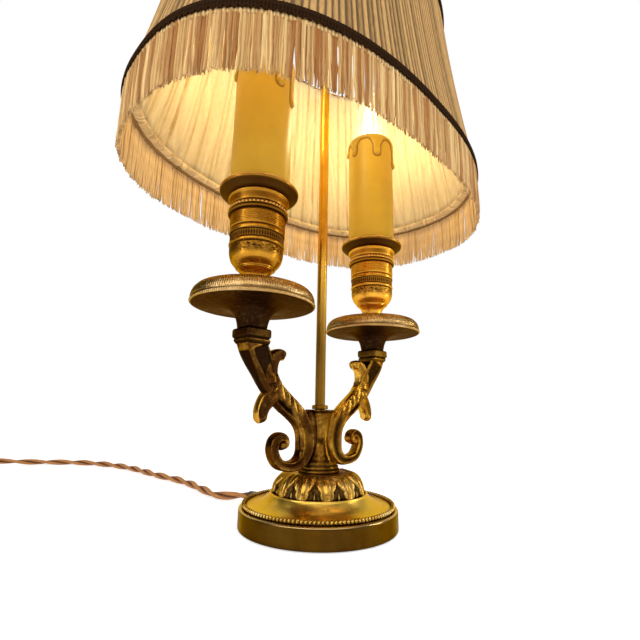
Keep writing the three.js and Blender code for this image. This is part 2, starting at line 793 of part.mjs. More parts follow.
function buildShadeFrame(lowLevel, highLevel) {
  const middle = -COVER_THICKNESS - 0.5 - WIRE_RADIUS;
  const wireSection = [0, 1, 2, 3, 4].map((i) => {
    const angle = (2 * Math.PI * i) / 5;
    return [WIRE_RADIUS * Math.cos(angle), WIRE_RADIUS * Math.sin(angle)];
  });
  const wire = (level) => ovalBand(wireSection.map(([x, z]) => [middle + x, level + z]));
  let frame = solid(wire(lowLevel)).add(solid(wire(highLevel)));
  const ribRadius = 1;
  for (let i = 0; i < RIB_COUNT; i += 1) {
    const angle = (2 * Math.PI * i) / RIB_COUNT;
    const points = [0, 0.3, 0.6, 1].map((t) => ovalPoint(middle, lowLevel + t * (highLevel - lowLevel), angle));
    frame = frame.add(solid(tube(points, ribRadius, 5, 3)));
  }
  add('shade_frame', 'gilt', geometryOf(frame));
  buildSpider(highLevel, middle - WIRE_RADIUS - CLEAR);
}

// The hub and its four spokes, whose ends meet the frame's upper wire
function buildSpider(level, inset) {
  let spider = solid(ring([
    [HUB_RADIUS, hubBase],
    [HUB_RADIUS, hubBase + HUB_THICKNESS],
    [COLLAR_RADIUS - 1.7, hubBase + HUB_THICKNESS],
    [COLLAR_RADIUS - 1.7, hubBase],
  ], smallSides));
  const spokeLevel = hubBase + HUB_THICKNESS / 2;
  for (let i = 0; i < 4; i += 1) {
    const angle = (Math.PI * (i + 0.5)) / 2;
    const [x, y] = ovalPoint(inset, level, angle);
    const inner = (HUB_RADIUS - 1.5) / Math.hypot(x, y);
    spider = spider.add(solid(rod(0.95, [x * inner, y * inner, spokeLevel], [x, y, level], 6)));
  }
  add('shade_spider', 'gilt', geometryOf(spider));
}

function buildCollar() {
  const neck = COLLAR_RADIUS - 1.7 - CLEAR;
  const neckTop = hubBase + HUB_THICKNESS + 4.2;
  const body = solid(ring([
    [COLLAR_RADIUS, collarBase],
    [COLLAR_RADIUS, collarTop - 3],
    [HUB_RADIUS, collarTop - 2],
    [HUB_RADIUS, collarTop],
    [neck, collarTop],
    [neck, neckTop],
    [rodBore, neckTop],
    [rodBore, collarBase],
  ], smallSides));
  const screwLevel = collarBase + SCREW_DROP;
  const screwHole = solid(rod(SCREW_RADIUS + CLEAR, [0, 0, screwLevel], [0, -20, screwLevel], 12));
  add('collar', 'polished', geometryOf(body.subtract(screwHole)));
  const nutBase = hubBase + HUB_THICKNESS + CLEAR;
  add('hub_nut', 'polished', ring([
    [HUB_RADIUS - 1, nutBase],
    [HUB_RADIUS - 1, nutBase + 3.2],
    [neck + CLEAR, nutBase + 3.2],
    [neck + CLEAR, nutBase],
  ], smallSides));
  const shank = solid(rod(SCREW_RADIUS, [0, -rodBore - 0.1, screwLevel], [0, -COLLAR_RADIUS - 4, screwLevel], 12));
  const wing = solid(box([14, 2.2, 6.4], [0, -COLLAR_RADIUS - 4.9, screwLevel]));
  const boss = solid(rod(3.4, [0, -COLLAR_RADIUS - 1, screwLevel], [0, -COLLAR_RADIUS - 5, screwLevel], 12));
  add('thumb_screw', 'polished', geometryOf(shank.add(boss).add(wing)));
}

function buildFinial() {
  const bore = rodBore;
  const blind = ROD_TOP + CLEAR;
  const z = finialBase;
  add('finial', 'polished', turned([
    [0, blind],
    [bore, blind],
    [bore, z],
    [6.6, z],
    [7, z + 1.4],
    [5.2, z + 3],
    [5.2, z + 8],
    [8.6, z + 13],
    [8.8, z + 17],
    [4.6, z + 25],
    [2.6, z + 27],
    [3, z + 29],
    [0, z + FINIAL_HEIGHT],
  ], smallSides));
}

// Mains lead. The points that aren't coiled are chosen by hand.

const cordRadius = CORD_DIAMETER / 2;
const lie = cordRadius;
const coilLow = cordRadius + COIL_LIFT;
const leadRoute = [
  [0, DRUM_RADIUS + RELIEF_LENGTH + CLEAR, CORD_EXIT_LEVEL],
  [0, DRUM_RADIUS + RELIEF_LENGTH + 4, CORD_EXIT_LEVEL - 0.1],
  [-2.2, 90, 5.6],
  [-6, 100, 4.2],
  [-8.2, 112, lie],
  [-6, 139, lie],
  [-1.6, 171, lie],
  [-0.6, 201, lie],
  [-3.4, 230, lie],
  [-4.6, 260, lie],
  [-5.4, 289, lie],
  [-8, 314, lie],
  [-14.5, 342, lie],
  [-28, 374, lie],
  [-48, 400, lie],
  [-72, 417.5, lie + 0.4],
  [-98, 427, lie + 2],
  [-112, 429.4, lie + 3.4],
];

// The coil runs inwards on its lower layer and outwards on its upper one, with straight ends
function coilPoints() {
  const loopSteps = 24;
  const total = Math.round(COIL_TURNS * loopSteps);
  const outerRadius = COIL_MEAN_RADIUS + (COIL_TURNS * COIL_PITCH) / 4;
  const [x0, y0] = COIL_CENTRE;
  const points = [[x0 + CORD_DIAMETER, y0 + outerRadius, coilLow]];
  for (let i = 0; i <= total; i += 1) {
    const turn = i / loopSteps;
    const angle = Math.PI / 2 + 2 * Math.PI * turn;
    const radius = outerRadius - COIL_PITCH * Math.min(turn, COIL_TURNS - turn);
    const climb = THREE.MathUtils.smoothstep(turn, COIL_TURNS / 2 - 0.25, COIL_TURNS / 2 + 0.25);
    points.push([
      x0 + radius * Math.cos(angle),
      y0 + radius * Math.sin(angle),
      coilLow + COIL_PITCH * climb,
    ]);
  }
  points.push([x0 - outerRadius, y0 - CORD_DIAMETER, coilLow + COIL_PITCH]);
  return points;
}

// The least distance between the surfaces of turns that aren't next to each other on the tube
function leastGap(points, diameter) {
  let least = Infinity;
  const skip = 12;
  points.forEach((a, i) => {
    points.slice(i + skip).forEach((b) => {
      least = Math.min(least, Math.hypot(a[0] - b[0], a[1] - b[1], a[2] - b[2]));
    });
  });
  return least - diameter;
}

function buildLead() {
  const reliefRadius = cordRadius + 1.2;
  const hold = cordRadius + CLEAR;
  const start = DRUM_RADIUS - DRUM_WALL + 0.1;
  const wall = DRUM_RADIUS - start;
  const relief = turned([
    [hold, 0],
    [reliefRadius, 0],
    [reliefRadius, wall + CLEAR],
    [reliefRadius + 1.1, wall + CLEAR],
    [reliefRadius + 0.9, wall + 2.6],
    [cordRadius + 0.9, wall + RELIEF_LENGTH],
    [hold, wall + RELIEF_LENGTH],
    [hold, 0],
  ], 12);
  relief.rotateX(-Math.PI / 2);
  relief.translate(0, start, CORD_EXIT_LEVEL);
  add('cord_relief', 'bakelite', relief);

  const inletEnd = CONNECTOR_PLACE + CONNECTOR_SIZE[1] / 2 + CLEAR;
  add('cord_inlet', 'cord', rod(
    cordRadius,
    [0, inletEnd, CORD_EXIT_LEVEL],
    [0, DRUM_RADIUS + RELIEF_LENGTH, CORD_EXIT_LEVEL],
    10,
  ));

  const coil = coilPoints();
  const first = coil[0];
  const last = coil[coil.length - 1];
  add('cord_lead', 'cord', tube([
    ...leadRoute,
    [SWITCH_START + 4, first[1], SWITCH_SPLIT],
    [SWITCH_START - 8, first[1], SWITCH_SPLIT],
  ], cordRadius, 8, 28));
  add('cord_coil', 'cord', tube(coil, cordRadius, 6, coil.length - 1));
  console.log('least gap in the coil', leastGap(coil, CORD_DIAMETER).toFixed(2));

  const switchEnd = SWITCH_START - SWITCH_LENGTH;
  add('cord_link', 'cord', tube([
    [switchEnd + 8, first[1], SWITCH_SPLIT],
    [switchEnd, first[1], SWITCH_SPLIT],
    [(switchEnd + first[0]) / 2, first[1], (SWITCH_SPLIT + coilLow) / 2],
    [first[0] + 4, first[1], coilLow],
    [first[0] + CLEAR, first[1], coilLow],
  ], cordRadius, 8, 4));

  const plugPlace = [last[0] + 37, last[1] - 68];
  add('cord_tail', 'cord', tube([
    [last[0], last[1] - CLEAR, last[2]],
    [last[0], last[1] - 4, last[2]],
    [last[0], last[1] - 12, last[2] - 2.2],
    [last[0] + 0.6, last[1] - 23, lie + 3.8],
    [last[0] + 4.2, last[1] - 41, lie + 1.4],
    [last[0] + 13, last[1] - 56.4, lie + 1.6],
    [last[0] + 24, last[1] - 65.6, lie + 2.8],
    [plugPlace[0] - 4, plugPlace[1], PLUG_THICKNESS / 2],
    [plugPlace[0] - CLEAR, plugPlace[1], PLUG_THICKNESS / 2],
  ], cordRadius, 8, 10));
  buildSwitch(first[1]);
  buildPlug(plugPlace);
  buildTie();
}

function outerCoil() {
  return COIL_MEAN_RADIUS + (COIL_TURNS * COIL_PITCH) / 4;
}

function buildTie() {
  const outer = outerCoil() + cordRadius + 0.8;
  const inner = COIL_MEAN_RADIUS * 2 - outerCoil() - cordRadius - 0.8;
  const top = coilLow + COIL_PITCH + cordRadius + 0.5;
  const strap = 0.6;
  const width = 9;
  const height = top + strap;
  const across = outer - inner + 2 * strap;
  const centre = [COIL_CENTRE[0] + (outer + inner) / 2, COIL_CENTRE[1], height / 2];
  const loop = solid(box([across, width, height], centre))
    .subtract(solid(box([outer - inner, width * 2, height - 2 * strap], centre)));
  add('coil_tie', 'braid', geometryOf(loop));
}

// In-line rocker switch, its two shells split on the level of the cord
function buildSwitch(y) {
  const middle = SWITCH_START - SWITCH_LENGTH / 2;
  const split = SWITCH_SPLIT;
  const outline = new THREE.Shape();
  const half = SWITCH_LENGTH / 2;
  const side = SWITCH_WIDTH / 2;
  outline.moveTo(-half, -side * 0.5);
  outline.quadraticCurveTo(-half + 7, -side, -half + 15, -side);
  outline.lineTo(half - 15, -side);
  outline.quadraticCurveTo(half - 7, -side, half, -side * 0.5);
  outline.lineTo(half, side * 0.5);
  outline.quadraticCurveTo(half - 7, side, half - 15, side);
  outline.lineTo(-half + 15, side);
  outline.quadraticCurveTo(-half + 7, side, -half, side * 0.5);
  const shell = (low, high) => {
    const geometry = new THREE.ExtrudeGeometry(outline, { depth: high - low, bevelEnabled: false, curveSegments: 4 });
    geometry.translate(middle, y, low);
    return solid(geometry);
  };
  const bore = (from, to) => solid(rod(cordRadius + 0.5, [from, y, split], [to, y, split], 10));
  const switchEnd = SWITCH_START - SWITCH_LENGTH;
  const channel = bore(SWITCH_START + 5, SWITCH_START - 10).add(bore(switchEnd - 5, switchEnd + 10));
  const rockerLength = 20;
  const rockerWidth = 9;
  const well = solid(box([rockerLength + 1.4, rockerWidth + 1, 30], [middle, y, split + 16]));
  const chamber = solid(box([30, SWITCH_WIDTH - 6, 7], [middle, y, split]));
  add('switch_base', 'bakelite', geometryOf(shell(0, split - CLEAR / 2).subtract(channel).subtract(chamber)));
  const pivot = SWITCH_HEIGHT - 2.4;
  const across = (radius, reachY) => solid(rod(radius, [middle, y - reachY, pivot], [middle, y + reachY, pivot], 10));
  const pivotHoles = across(ROCKER_PIVOT_RADIUS + CLEAR, rockerWidth / 2 + 3);
  add('switch_cover', 'bakelite', geometryOf(
    shell(split + CLEAR / 2, SWITCH_HEIGHT).subtract(channel).subtract(chamber).subtract(well).subtract(pivotHoles),
  ));
  const profile = new THREE.Shape();
  const reach = rockerLength / 2;
  profile.moveTo(-reach, 1.6);
  profile.lineTo(-2.2, -2.6);
  profile.lineTo(2.2, -2.6);
  profile.lineTo(reach, 1.6);
  profile.lineTo(reach - 1, 4);
  profile.lineTo(0, 2.9);
  profile.lineTo(-reach + 1, 4);
  const rocker = new THREE.ExtrudeGeometry(profile, { depth: rockerWidth, bevelEnabled: false });
  rocker.rotateX(Math.PI / 2);
  rocker.translate(0, rockerWidth / 2, 0);
  rocker.rotateY(THREE.MathUtils.degToRad(ROCKER_TILT));
  rocker.translate(middle, y, pivot);
  add('switch_rocker', 'silk', geometryOf(solid(rocker).add(across(ROCKER_PIVOT_RADIUS, rockerWidth / 2 + 2.4))));
}

// Two-pin plug lying flat, its pins pointing along +X
function buildPlug([x, y]) {
  const half = PLUG_WIDTH / 2;
  const outline = new THREE.Shape();
  const neck = cordRadius + 2.6;
  outline.moveTo(0, -neck);
  outline.lineTo(4, -neck);
  outline.quadraticCurveTo(10, -half, 20, -half);
  outline.lineTo(PLUG_LENGTH, -half + 2);
  outline.lineTo(PLUG_LENGTH, half - 2);
  outline.lineTo(20, half);
  outline.quadraticCurveTo(10, half, 4, neck);
  outline.lineTo(0, neck);
  const body = new THREE.ExtrudeGeometry(outline, { depth: PLUG_THICKNESS, bevelEnabled: false, curveSegments: 5 });
  body.translate(x, y, 0);
  let shell = solid(body);
  const middle = PLUG_THICKNESS / 2;
  const rootDepth = 8;
  [-1, 1].forEach((side) => {
    const pinY = y + (side * PIN_SPACING) / 2;
    const from = x + PLUG_LENGTH - rootDepth;
    shell = shell.subtract(solid(rod(PIN_RADIUS + CLEAR, [from, pinY, middle], [from + 40, pinY, middle], 12)));
    add(side < 0 ? 'plug_pin_a' : 'plug_pin_b', 'polished', rod(
      PIN_RADIUS,
      [from + CLEAR, pinY, middle],
      [from + rootDepth + PIN_LENGTH, pinY, middle],
      12,
    ));
  });
  add('plug_body', 'bakelite', geometryOf(shell));
}

buildBase();
buildColumn();
[[1, 'right'], [-1, 'left']].forEach(([side, tag]) => {
  buildArm(side, `${tag}_arm`);
  buildNipple(side, tag);
  buildDish(side, tag);
  buildCup(side, tag);
  buildPlate(side, tag);
  buildSleeve(side, tag);
  buildHolderAndBulb(side, tag);
  buildWire(side, tag);
});
buildShade();
buildCollar();
buildFinial();
buildLead();

export default lamp;
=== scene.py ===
"""Visual model of a two-light table lamp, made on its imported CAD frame."""

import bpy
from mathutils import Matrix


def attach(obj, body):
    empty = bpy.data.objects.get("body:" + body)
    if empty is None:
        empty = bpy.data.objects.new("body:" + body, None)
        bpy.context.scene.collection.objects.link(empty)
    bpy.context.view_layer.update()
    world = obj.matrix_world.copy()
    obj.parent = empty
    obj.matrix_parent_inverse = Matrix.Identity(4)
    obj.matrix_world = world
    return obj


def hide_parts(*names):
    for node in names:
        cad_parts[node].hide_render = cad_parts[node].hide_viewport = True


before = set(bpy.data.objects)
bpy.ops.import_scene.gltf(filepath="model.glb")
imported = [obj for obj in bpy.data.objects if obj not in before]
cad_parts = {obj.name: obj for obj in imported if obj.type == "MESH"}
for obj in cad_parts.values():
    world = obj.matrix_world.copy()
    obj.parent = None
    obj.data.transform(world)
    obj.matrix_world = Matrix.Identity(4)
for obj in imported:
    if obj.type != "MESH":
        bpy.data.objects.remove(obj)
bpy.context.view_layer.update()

import math

import bpy
import numpy as np
from bpy.props import FloatProperty, FloatVectorProperty, IntProperty, PointerProperty
from mathutils import Matrix, Vector

bl_info = {
    "name": "Two-Light Table Lamp",
    "version": (1, 0, 0),
    "blender": (4, 5, 0),
    "location": "3D View > Sidebar > Table Lamp",
    "description": "Makes the lamp's brass, candles, shade, fringe and cord on its CAD frame",
    "category": "Add Mesh",
}

MM = 0.001

# Levels and sizes of the CAD model, in millimetres
DOME_BASE = 19.4
DOME_TOP = 34.6
ROD_RADIUS = 3.6
ARM_REACH = 62.8
SLEEVE_BASE = 219.3
SLEEVE_TOP = 321.3
SLEEVE_RADIUS = 20.3
SLEEVE_BORE = 18.3
LINING_LOW = 272.2
LINING_HIGH = 428
SHADE_HALF_LENGTH = 149.5
SHADE_HALF_WIDTH = 100.8
SHADE_RIM = 268.5
SHADE_TOP = 432.0

# Each arm's side along X, and a full turn
SIDES = {"right": 1, "left": -1}
TURN = 2 * np.pi


def paint(code):
    """Linear colour of a hex code."""
    parts = [int(code[i:i + 2], 16) / 255 for i in (0, 2, 4)]
    return tuple(c / 12.92 if c <= 0.04045 else ((c + 0.055) / 1.055) ** 2.4 for c in parts)


def colour(label, text, code):
    """A colour property with the hex code as its default."""
    return FloatVectorProperty(name=label, description=text, subtype="COLOR", size=3, min=0, max=1,
                               default=paint(code))


def number(label, text, value, low, high):
    return IntProperty(name=label, description=text, default=value, min=low, max=high)


def light(label, text, value, high):
    return FloatProperty(name=label, description=text, default=value, min=0, max=high)


class LampFinishes(bpy.types.PropertyGroup):
    """Colours of the lamp's finishes"""
    # The worn and deep gilt colours also take the painted highlights and painted shade that the tone gives.
    gilt_bright: colour("Gilt, worn", "Aged gilt on the edges that hands polish", "cf9a3c")
    gilt_body: colour("Gilt, body", "Aged gilt on open surfaces", "7c571c")
    gilt_deep: colour("Gilt, recesses", "Dark patina in the recesses", "22140a")
    brass_bright: colour("Brass, bright", "Polished brass", "d99c34")
    brass_body: colour("Brass, body", "Polished brass under old lacquer", "a8701a")
    sleeve: colour("Candle sleeve", "Ochre of the candle sleeves", "ddb63e")
    wax: colour("Wax", "Wax drips on the sleeves", "e6ba6c")
    cover: colour("Shade cover", "Pleated silk outside the shade", "dcac6a")
    lining: colour("Shade lining", "Pleated silk inside the shade", "dccba9")
    fringe: colour("Fringe", "Cut threads of the fringe", "f0d08a")
    braid: colour("Braid", "Scalloped braid over the fringe", "38220f")
    cord: colour("Cord", "Twisted silk cord", "d08c44")
    bakelite: colour("Moulded plastic", "Switch, plug and strain relief", "2c1c13")
    glow: colour("Lamp light", "Light of the two bulbs", "fff2b8")


class LampDetails(bpy.types.PropertyGroup):
    """Counts and sizes of the lamp's fine detail"""
    beads: number("Base beads", "Beads in the row round the base", 129, 24, 240)
    leaves: number("Dome leaves", "Leaves on the dome", 12, 6, 24)
    reeds: number("Dish reeds", "Reeds round the rim of a drip dish", 168, 24, 240)
    pearls: number("Cup pearls", "Pearls in the row round a candle cup", 48, 12, 96)
    cover_pleats: number("Cover pleats", "Pleats round the outside of the shade", 190, 40, 300)
    lining_pleats: number("Lining pleats", "Pleats round the inside of the shade", 74, 40, 240)
    threads: number("Fringe threads", "Threads in the fringe", 1360, 100, 1500)
    cord_lay: FloatProperty(name="Cord lay", description="Length of one full twist of the cord", default=0.064,
                            min=0.008, max=0.08, unit="LENGTH")


class LampStage(bpy.types.PropertyGroup):
    """Camera and lights"""
    lens: FloatProperty(name="Focal length", description="Focal length on a 36 mm sensor", default=22.468,
                        min=10, max=200, unit="CAMERA")
    camera_place: FloatVectorProperty(
        name="Camera place", description="Where the camera stands", size=3, subtype="TRANSLATION",
        unit="LENGTH", default=(-0.21036, -0.20455, 0.07879))
    camera_turn: FloatVectorProperty(
        name="Camera turn", description="Turn to the right, pitch up and roll", size=3, subtype="EULER",
        unit="ROTATION", default=tuple(math.radians(a) for a in (45.59, 12.20, 1.05)))
    room: light("Room light", "Strength of the even light of the room", 0.5, 2)
    key: light("Key light", "Power of the large soft lamp", 7.5, 200)
    fill: light("Fill light", "Power of the second soft lamp", 3.0, 200)
    strip: light("Strip light", "Power of the left narrow lamp, and half that of the right one", 1.8, 50)
    bulb: light("Bulb light", "Power of each bulb", 0.25, 5)


# Shapes: a grid is a dict of points in millimetres, shaped (rows, columns, 3) or (copies, rows, columns, 3).
# Its columns always close to a ring, and its rows do so where round_v is true.

def smoothstep(x, low, high):
    """3t^2 - 2t^3 with t = (x - low) / (high - low), held between 0 and 1."""
    t = np.clip((x - low) / (high - low), 0, 1)
    return t * t * (3 - 2 * t)


def hump(x, middle, half):
    """1 at the middle, falling as a cosine to 0 at half on each side."""
    t = np.clip(np.abs(x - middle) / half, 0, 1)
    return 0.5 + 0.5 * np.cos(np.pi * t)


def around(count):
    """Angles at an even spacing over a full turn."""
    return np.linspace(0, TURN, count, endpoint=False)


def bent(values, power):
    """|x|^power with the sign of x. A power below 1 makes a round section squarer."""
    return np.sign(values) * np.abs(values) ** power


def unit(rows):
    """The rows as vectors of length 1."""
    return rows / np.linalg.norm(rows, axis=1, keepdims=True)


def reach_of(points):
    """Distance from the first point along a row of points."""
    steps = np.linalg.norm(np.diff(points, axis=0), axis=1)
    return np.concatenate([[0], np.cumsum(steps)])


def even(points, step, ease=0):
    """The row of points at an even spacing. Each easing moves a point b to (a + 2b + c) / 4."""
    points = np.asarray(points, float)
    reach = reach_of(points)
    places = np.linspace(0, reach[-1], max(int(round(reach[-1] / step)), 2) + 1)
    fine = np.stack([np.interp(places, reach, column) for column in points.T], 1)
    for _ in range(ease):
        fine[1:-1] = (fine[:-2] + 2 * fine[1:-1] + fine[2:]) / 4
    return fine


def flow(points, step):
    """Cubic Hermite curve through the points, with the slope between its neighbours at each point."""
    points = np.asarray(points, float)
    reach = reach_of(points)
    slope = np.gradient(points, reach, axis=0)
    places = np.linspace(0, reach[-1], max(int(reach[-1] / step) * 3, 12))
    k = np.clip(np.searchsorted(reach, places, side="right") - 1, 0, len(points) - 2)
    span = (reach[k + 1] - reach[k])[:, None]
    t = (places - reach[k])[:, None] / span
    ends = (1 + 2 * t) * (1 - t) ** 2 * points[k] + t * t * (3 - 2 * t) * points[k + 1]
    bows = t * (1 - t) ** 2 * slope[k] + t * t * (t - 1) * slope[k + 1]
    return even(ends + span * bows, step)


def grid(points, tone=0.0, round_v=False):
    """Points with their tone, which holds wear, patina and painted light: below 0 bright, 0 plain, 1 darkest.
    """
    return {"points": points, "tone": tone, "round_v": round_v}


def turned(profile, sides, relief=None, centre=(0, 0)):
    """x = r cos a, y = r sin a for each point (r, z) of the profile.

    relief(a, r, z) gives how far a point stands out along the profile's normal, and its tone.
    """
    angle = around(sides)[None, :]
    r, z = profile[:, :1], profile[:, 1:2]
    slope = np.gradient(profile, axis=0)
    slope /= np.maximum(np.linalg.norm(slope, axis=1, keepdims=True), 1e-9)
    rise, tone = relief(angle, r, z) if relief else (0.0, 0.0)
    rise = rise + 0 * angle * r
    out = r + slope[:, 1:] * rise
    up = z - slope[:, :1] * rise
    points = np.stack([centre[0] + out * np.cos(angle), centre[1] + out * np.sin(angle), up], -1)
    return grid(points, tone + 0 * angle * r)


def with_ends(rows):
    """The rows with the first and the last one doubled, where a shape closes to a point."""
    return np.concatenate([rows[:1], rows, rows[-1:]])


def heading_of(line):
    """Directions along a line that with_ends has doubled at both ends."""
    heading = np.gradient(line, axis=0)
    heading[0], heading[-1] = heading[1], heading[-2]
    return unit(heading)


def closing(count):
    """Ones with a 0 at both ends, where a shape closes to a point."""
    close = np.ones((count, 1))
    close[0] = close[-1] = 0
    return close


def tube(path, radius, sides, up=(0, 0, 1)):
    """Round tube: p(s) + r (side cos a + top sin a), closed by a point at both ends."""
    path = with_ends(path)
    radius = radius * closing(len(path))[..., None]
    heading = heading_of(path)
    side = unit(np.cross(np.asarray(up, float), heading))
    top = np.cross(heading, side)
    angle = around(sides)[None, :, None]
    return grid(path[:, None] + radius * (side[:, None] * np.cos(angle) + top[:, None] * np.sin(angle)))


def stroke(line, depth, sides, fullness, relief=None):
    """Strap along a line in the XZ plane, given as rows of x, z and half width w.

    A section's point is w |cos a|^q across the line and d |sin a|^q along Y, each with its sign,
    and q is the fullness. relief(s, c, d) gives the rise across and along Y, and the tone.
    """
    fullness, deep = (with_ends(np.broadcast_to(np.asarray(values, float), (len(line),)))[:, None]
                      for values in (fullness, depth))
    line = with_ends(line)
    heading = heading_of(line[:, :2])
    close = closing(len(line))
    angle = around(sides)[None, :]
    c, d = bent(np.cos(angle), fullness), bent(np.sin(angle), fullness)
    s = reach_of(line[:, :2])[:, None]
    across, outward, tone = relief(s, c, d) if relief else (0.0, 0.0, 0.0)
    reach = close * (line[:, 2:] * c + across)
    points = np.stack([
        line[:, :1] - heading[:, 1:] * reach,
        close * (deep * d + outward),
        line[:, 1:2] + heading[:, :1] * reach,
    ], -1)
    return grid(points, tone + 0 * c * s)


def surface(name, grids, made, body, replaced=()):
    """One smooth mesh from grids, with tones as the point attribute tone_and_painted_light and lengths in
    metres as UV.
    """
    points, quads, flats, tones, start = [], [], [], [], 0
    for item in grids:
        block = np.asarray(item["points"], float) * MM
        block = block[None] if block.ndim == 3 else block
        copies, rows, columns, _ = block.shape
        r, c = np.meshgrid(np.arange(rows - (not item["round_v"])), np.arange(columns), indexing="ij")
        below, beside = (r + 1) % rows, (c + 1) % columns
        quad = np.stack([r * columns + c, r * columns + beside, below * columns + beside, below * columns + c],
                        -1).reshape(-1, 4)
        wide = np.linalg.norm(np.roll(block, -1, 2) - block, axis=3)
        tall = np.linalg.norm(np.diff(block, axis=1), axis=3)
        wide, tall = wide.sum(2).mean() / (c.max() + 1), tall.sum(1).mean() / max(rows - 1, 1)
        flat = np.stack([np.stack([c + a, r + b], -1).reshape(-1, 2)
                         for a, b in ((0, 0), (1, 0), (1, 1), (0, 1))], 1)
        corners = block[0].reshape(-1, 3)[quad]
        corners = corners - corners.mean((0, 1))
        spread = np.cross(corners[:, 2] - corners[:, 0], corners[:, 3] - corners[:, 1])
        if (spread * corners.mean(1)).sum() < 0:
            quad, flat = quad[:, ::-1], flat[:, ::-1]
        offsets = start + np.arange(copies) * rows * columns
        quads.append((quad[None] + offsets[:, None, None]).reshape(-1, 4))
        flats.append(np.tile(flat * (wide, tall), (copies, 1, 1)).reshape(-1, 2))
        points.append(block.reshape(-1, 3))
        tones.append(np.broadcast_to(np.asarray(item["tone"], float), block.shape[:3]).reshape(-1))
        start += block.shape[0] * rows * columns
    points, quads = np.concatenate(points), np.concatenate(quads)
    mesh = bpy.data.meshes.new(name)
    mesh.vertices.add(len(points))
    mesh.vertices.foreach_set("co", points.ravel())
    mesh.loops.add(quads.size)
    mesh.loops.foreach_set("vertex_index", quads.ravel().astype(np.int32))
    mesh.polygons.add(len(quads))
    mesh.polygons.foreach_set("loop_start", np.arange(0, quads.size, 4, dtype=np.int32))
    mesh.update(calc_edges=True)
    mesh.uv_layers.new(name="UVMap").data.foreach_set("uv", np.concatenate(flats).ravel())
    mesh.attributes.new("tone_and_painted_light", "FLOAT", "POINT").data.foreach_set("value", np.concatenate(tones))
    mesh.shade_smooth()
    piece = bpy.data.objects.new(name, mesh)
    bpy.context.scene.collection.objects.link(piece)
    mesh.materials.append(made)
    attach(piece, body)
    if replaced:
        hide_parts(*replaced)
    return piece


def spun(name, node, made, profile, sides, relief=None, centre=(0, 0), body="stand"):
    """A turned piece in the place of one CAD node."""
    return surface(name, [turned(profile, sides, relief, centre)], made, body, [node])


# Finishes

class Wiring:
    """Adds nodes to one tree and links them."""

    def __init__(self, tree):
        self.tree = tree

    def node(self, kind, inputs=None, **settings):
        node = self.tree.nodes.new(kind)
        for key, value in settings.items():
            setattr(node, key, value)
        self.fill(node, inputs or {})
        return node

    def fill(self, node, inputs):
        """Links a node's input to each value that is a socket, and sets the others."""
        for key, value in inputs.items():
            socket = node.inputs[key]
            if isinstance(value, bpy.types.NodeSocket):
                self.join(value, socket)
            else:
                socket.default_value = rgba(value) if socket.type == "RGBA" else value

    def join(self, start, end):
        self.tree.links.new(start, end)

    def math(self, operation, *values, clamp=False):
        node = self.node("ShaderNodeMath", dict(enumerate(values)), operation=operation, use_clamp=clamp)
        return node.outputs[0]

    def mixed(self, amount, low, high, blend="MIX"):
        node = self.node("ShaderNodeMix", {0: amount, 6: low, 7: high}, data_type="RGBA", blend_type=blend)
        return node.outputs[2]

    def ranged(self, value, low, high, start=0.0, end=1.0):
        return self.node("ShaderNodeMapRange", {0: value, 1: low, 2: high, 3: start, 4: end}).outputs[0]

    def place(self, kind="Object"):
        return self.node("ShaderNodeTexCoord").outputs[kind]

    def stretched(self, vector, scale):
        return self.node("ShaderNodeMapping", {"Vector": vector, "Scale": scale}).outputs[0]

    def noise(self, vector, scale, detail=3.0, roughness=0.55):
        settings = {"Vector": vector, "Scale": scale, "Detail": detail, "Roughness": roughness}
        return self.node("ShaderNodeTexNoise", settings).outputs[0]

    def bump(self, height, strength, distance):
        settings = {"Height": height, "Strength": strength, "Distance": distance}
        return self.node("ShaderNodeBump", settings).outputs[0]


def rgba(values):
    """A colour with full opacity."""
    return (*values[:3], 1.0)


WHITE = (1, 1, 1, 1)
BLACK = (0, 0, 0, 1)


def effect(name, inputs, outputs=("Colour", "Roughness", "Normal")):
    """A new shader node group. Returns its wiring, its inner inputs and the inputs of its output node."""
    tree = bpy.data.node_groups.new(name, "ShaderNodeTree")
    for label, default in inputs.items():
        kind = "Color" if isinstance(default, tuple) else "Float"
        socket = tree.interface.new_socket(label, in_out="INPUT", socket_type="NodeSocket" + kind)
        socket.default_value = default
    for label in outputs:
        kind = {"Colour": "Color", "Roughness": "Float", "Normal": "Vector"}[label]
        tree.interface.new_socket(label, in_out="OUTPUT", socket_type="NodeSocket" + kind)
    wiring = Wiring(tree)
    return wiring, wiring.node("NodeGroupInput").outputs, wiring.node("NodeGroupOutput").inputs


def underside(w):
    """1 where the surface faces down, 0 where it faces level or up: the mask of painted shade on undersides."""
    normal = w.node("ShaderNodeNewGeometry").outputs["Normal"]
    return w.ranged(w.node("ShaderNodeSeparateXYZ", {0: normal}).outputs[2], -0.15, -0.85)


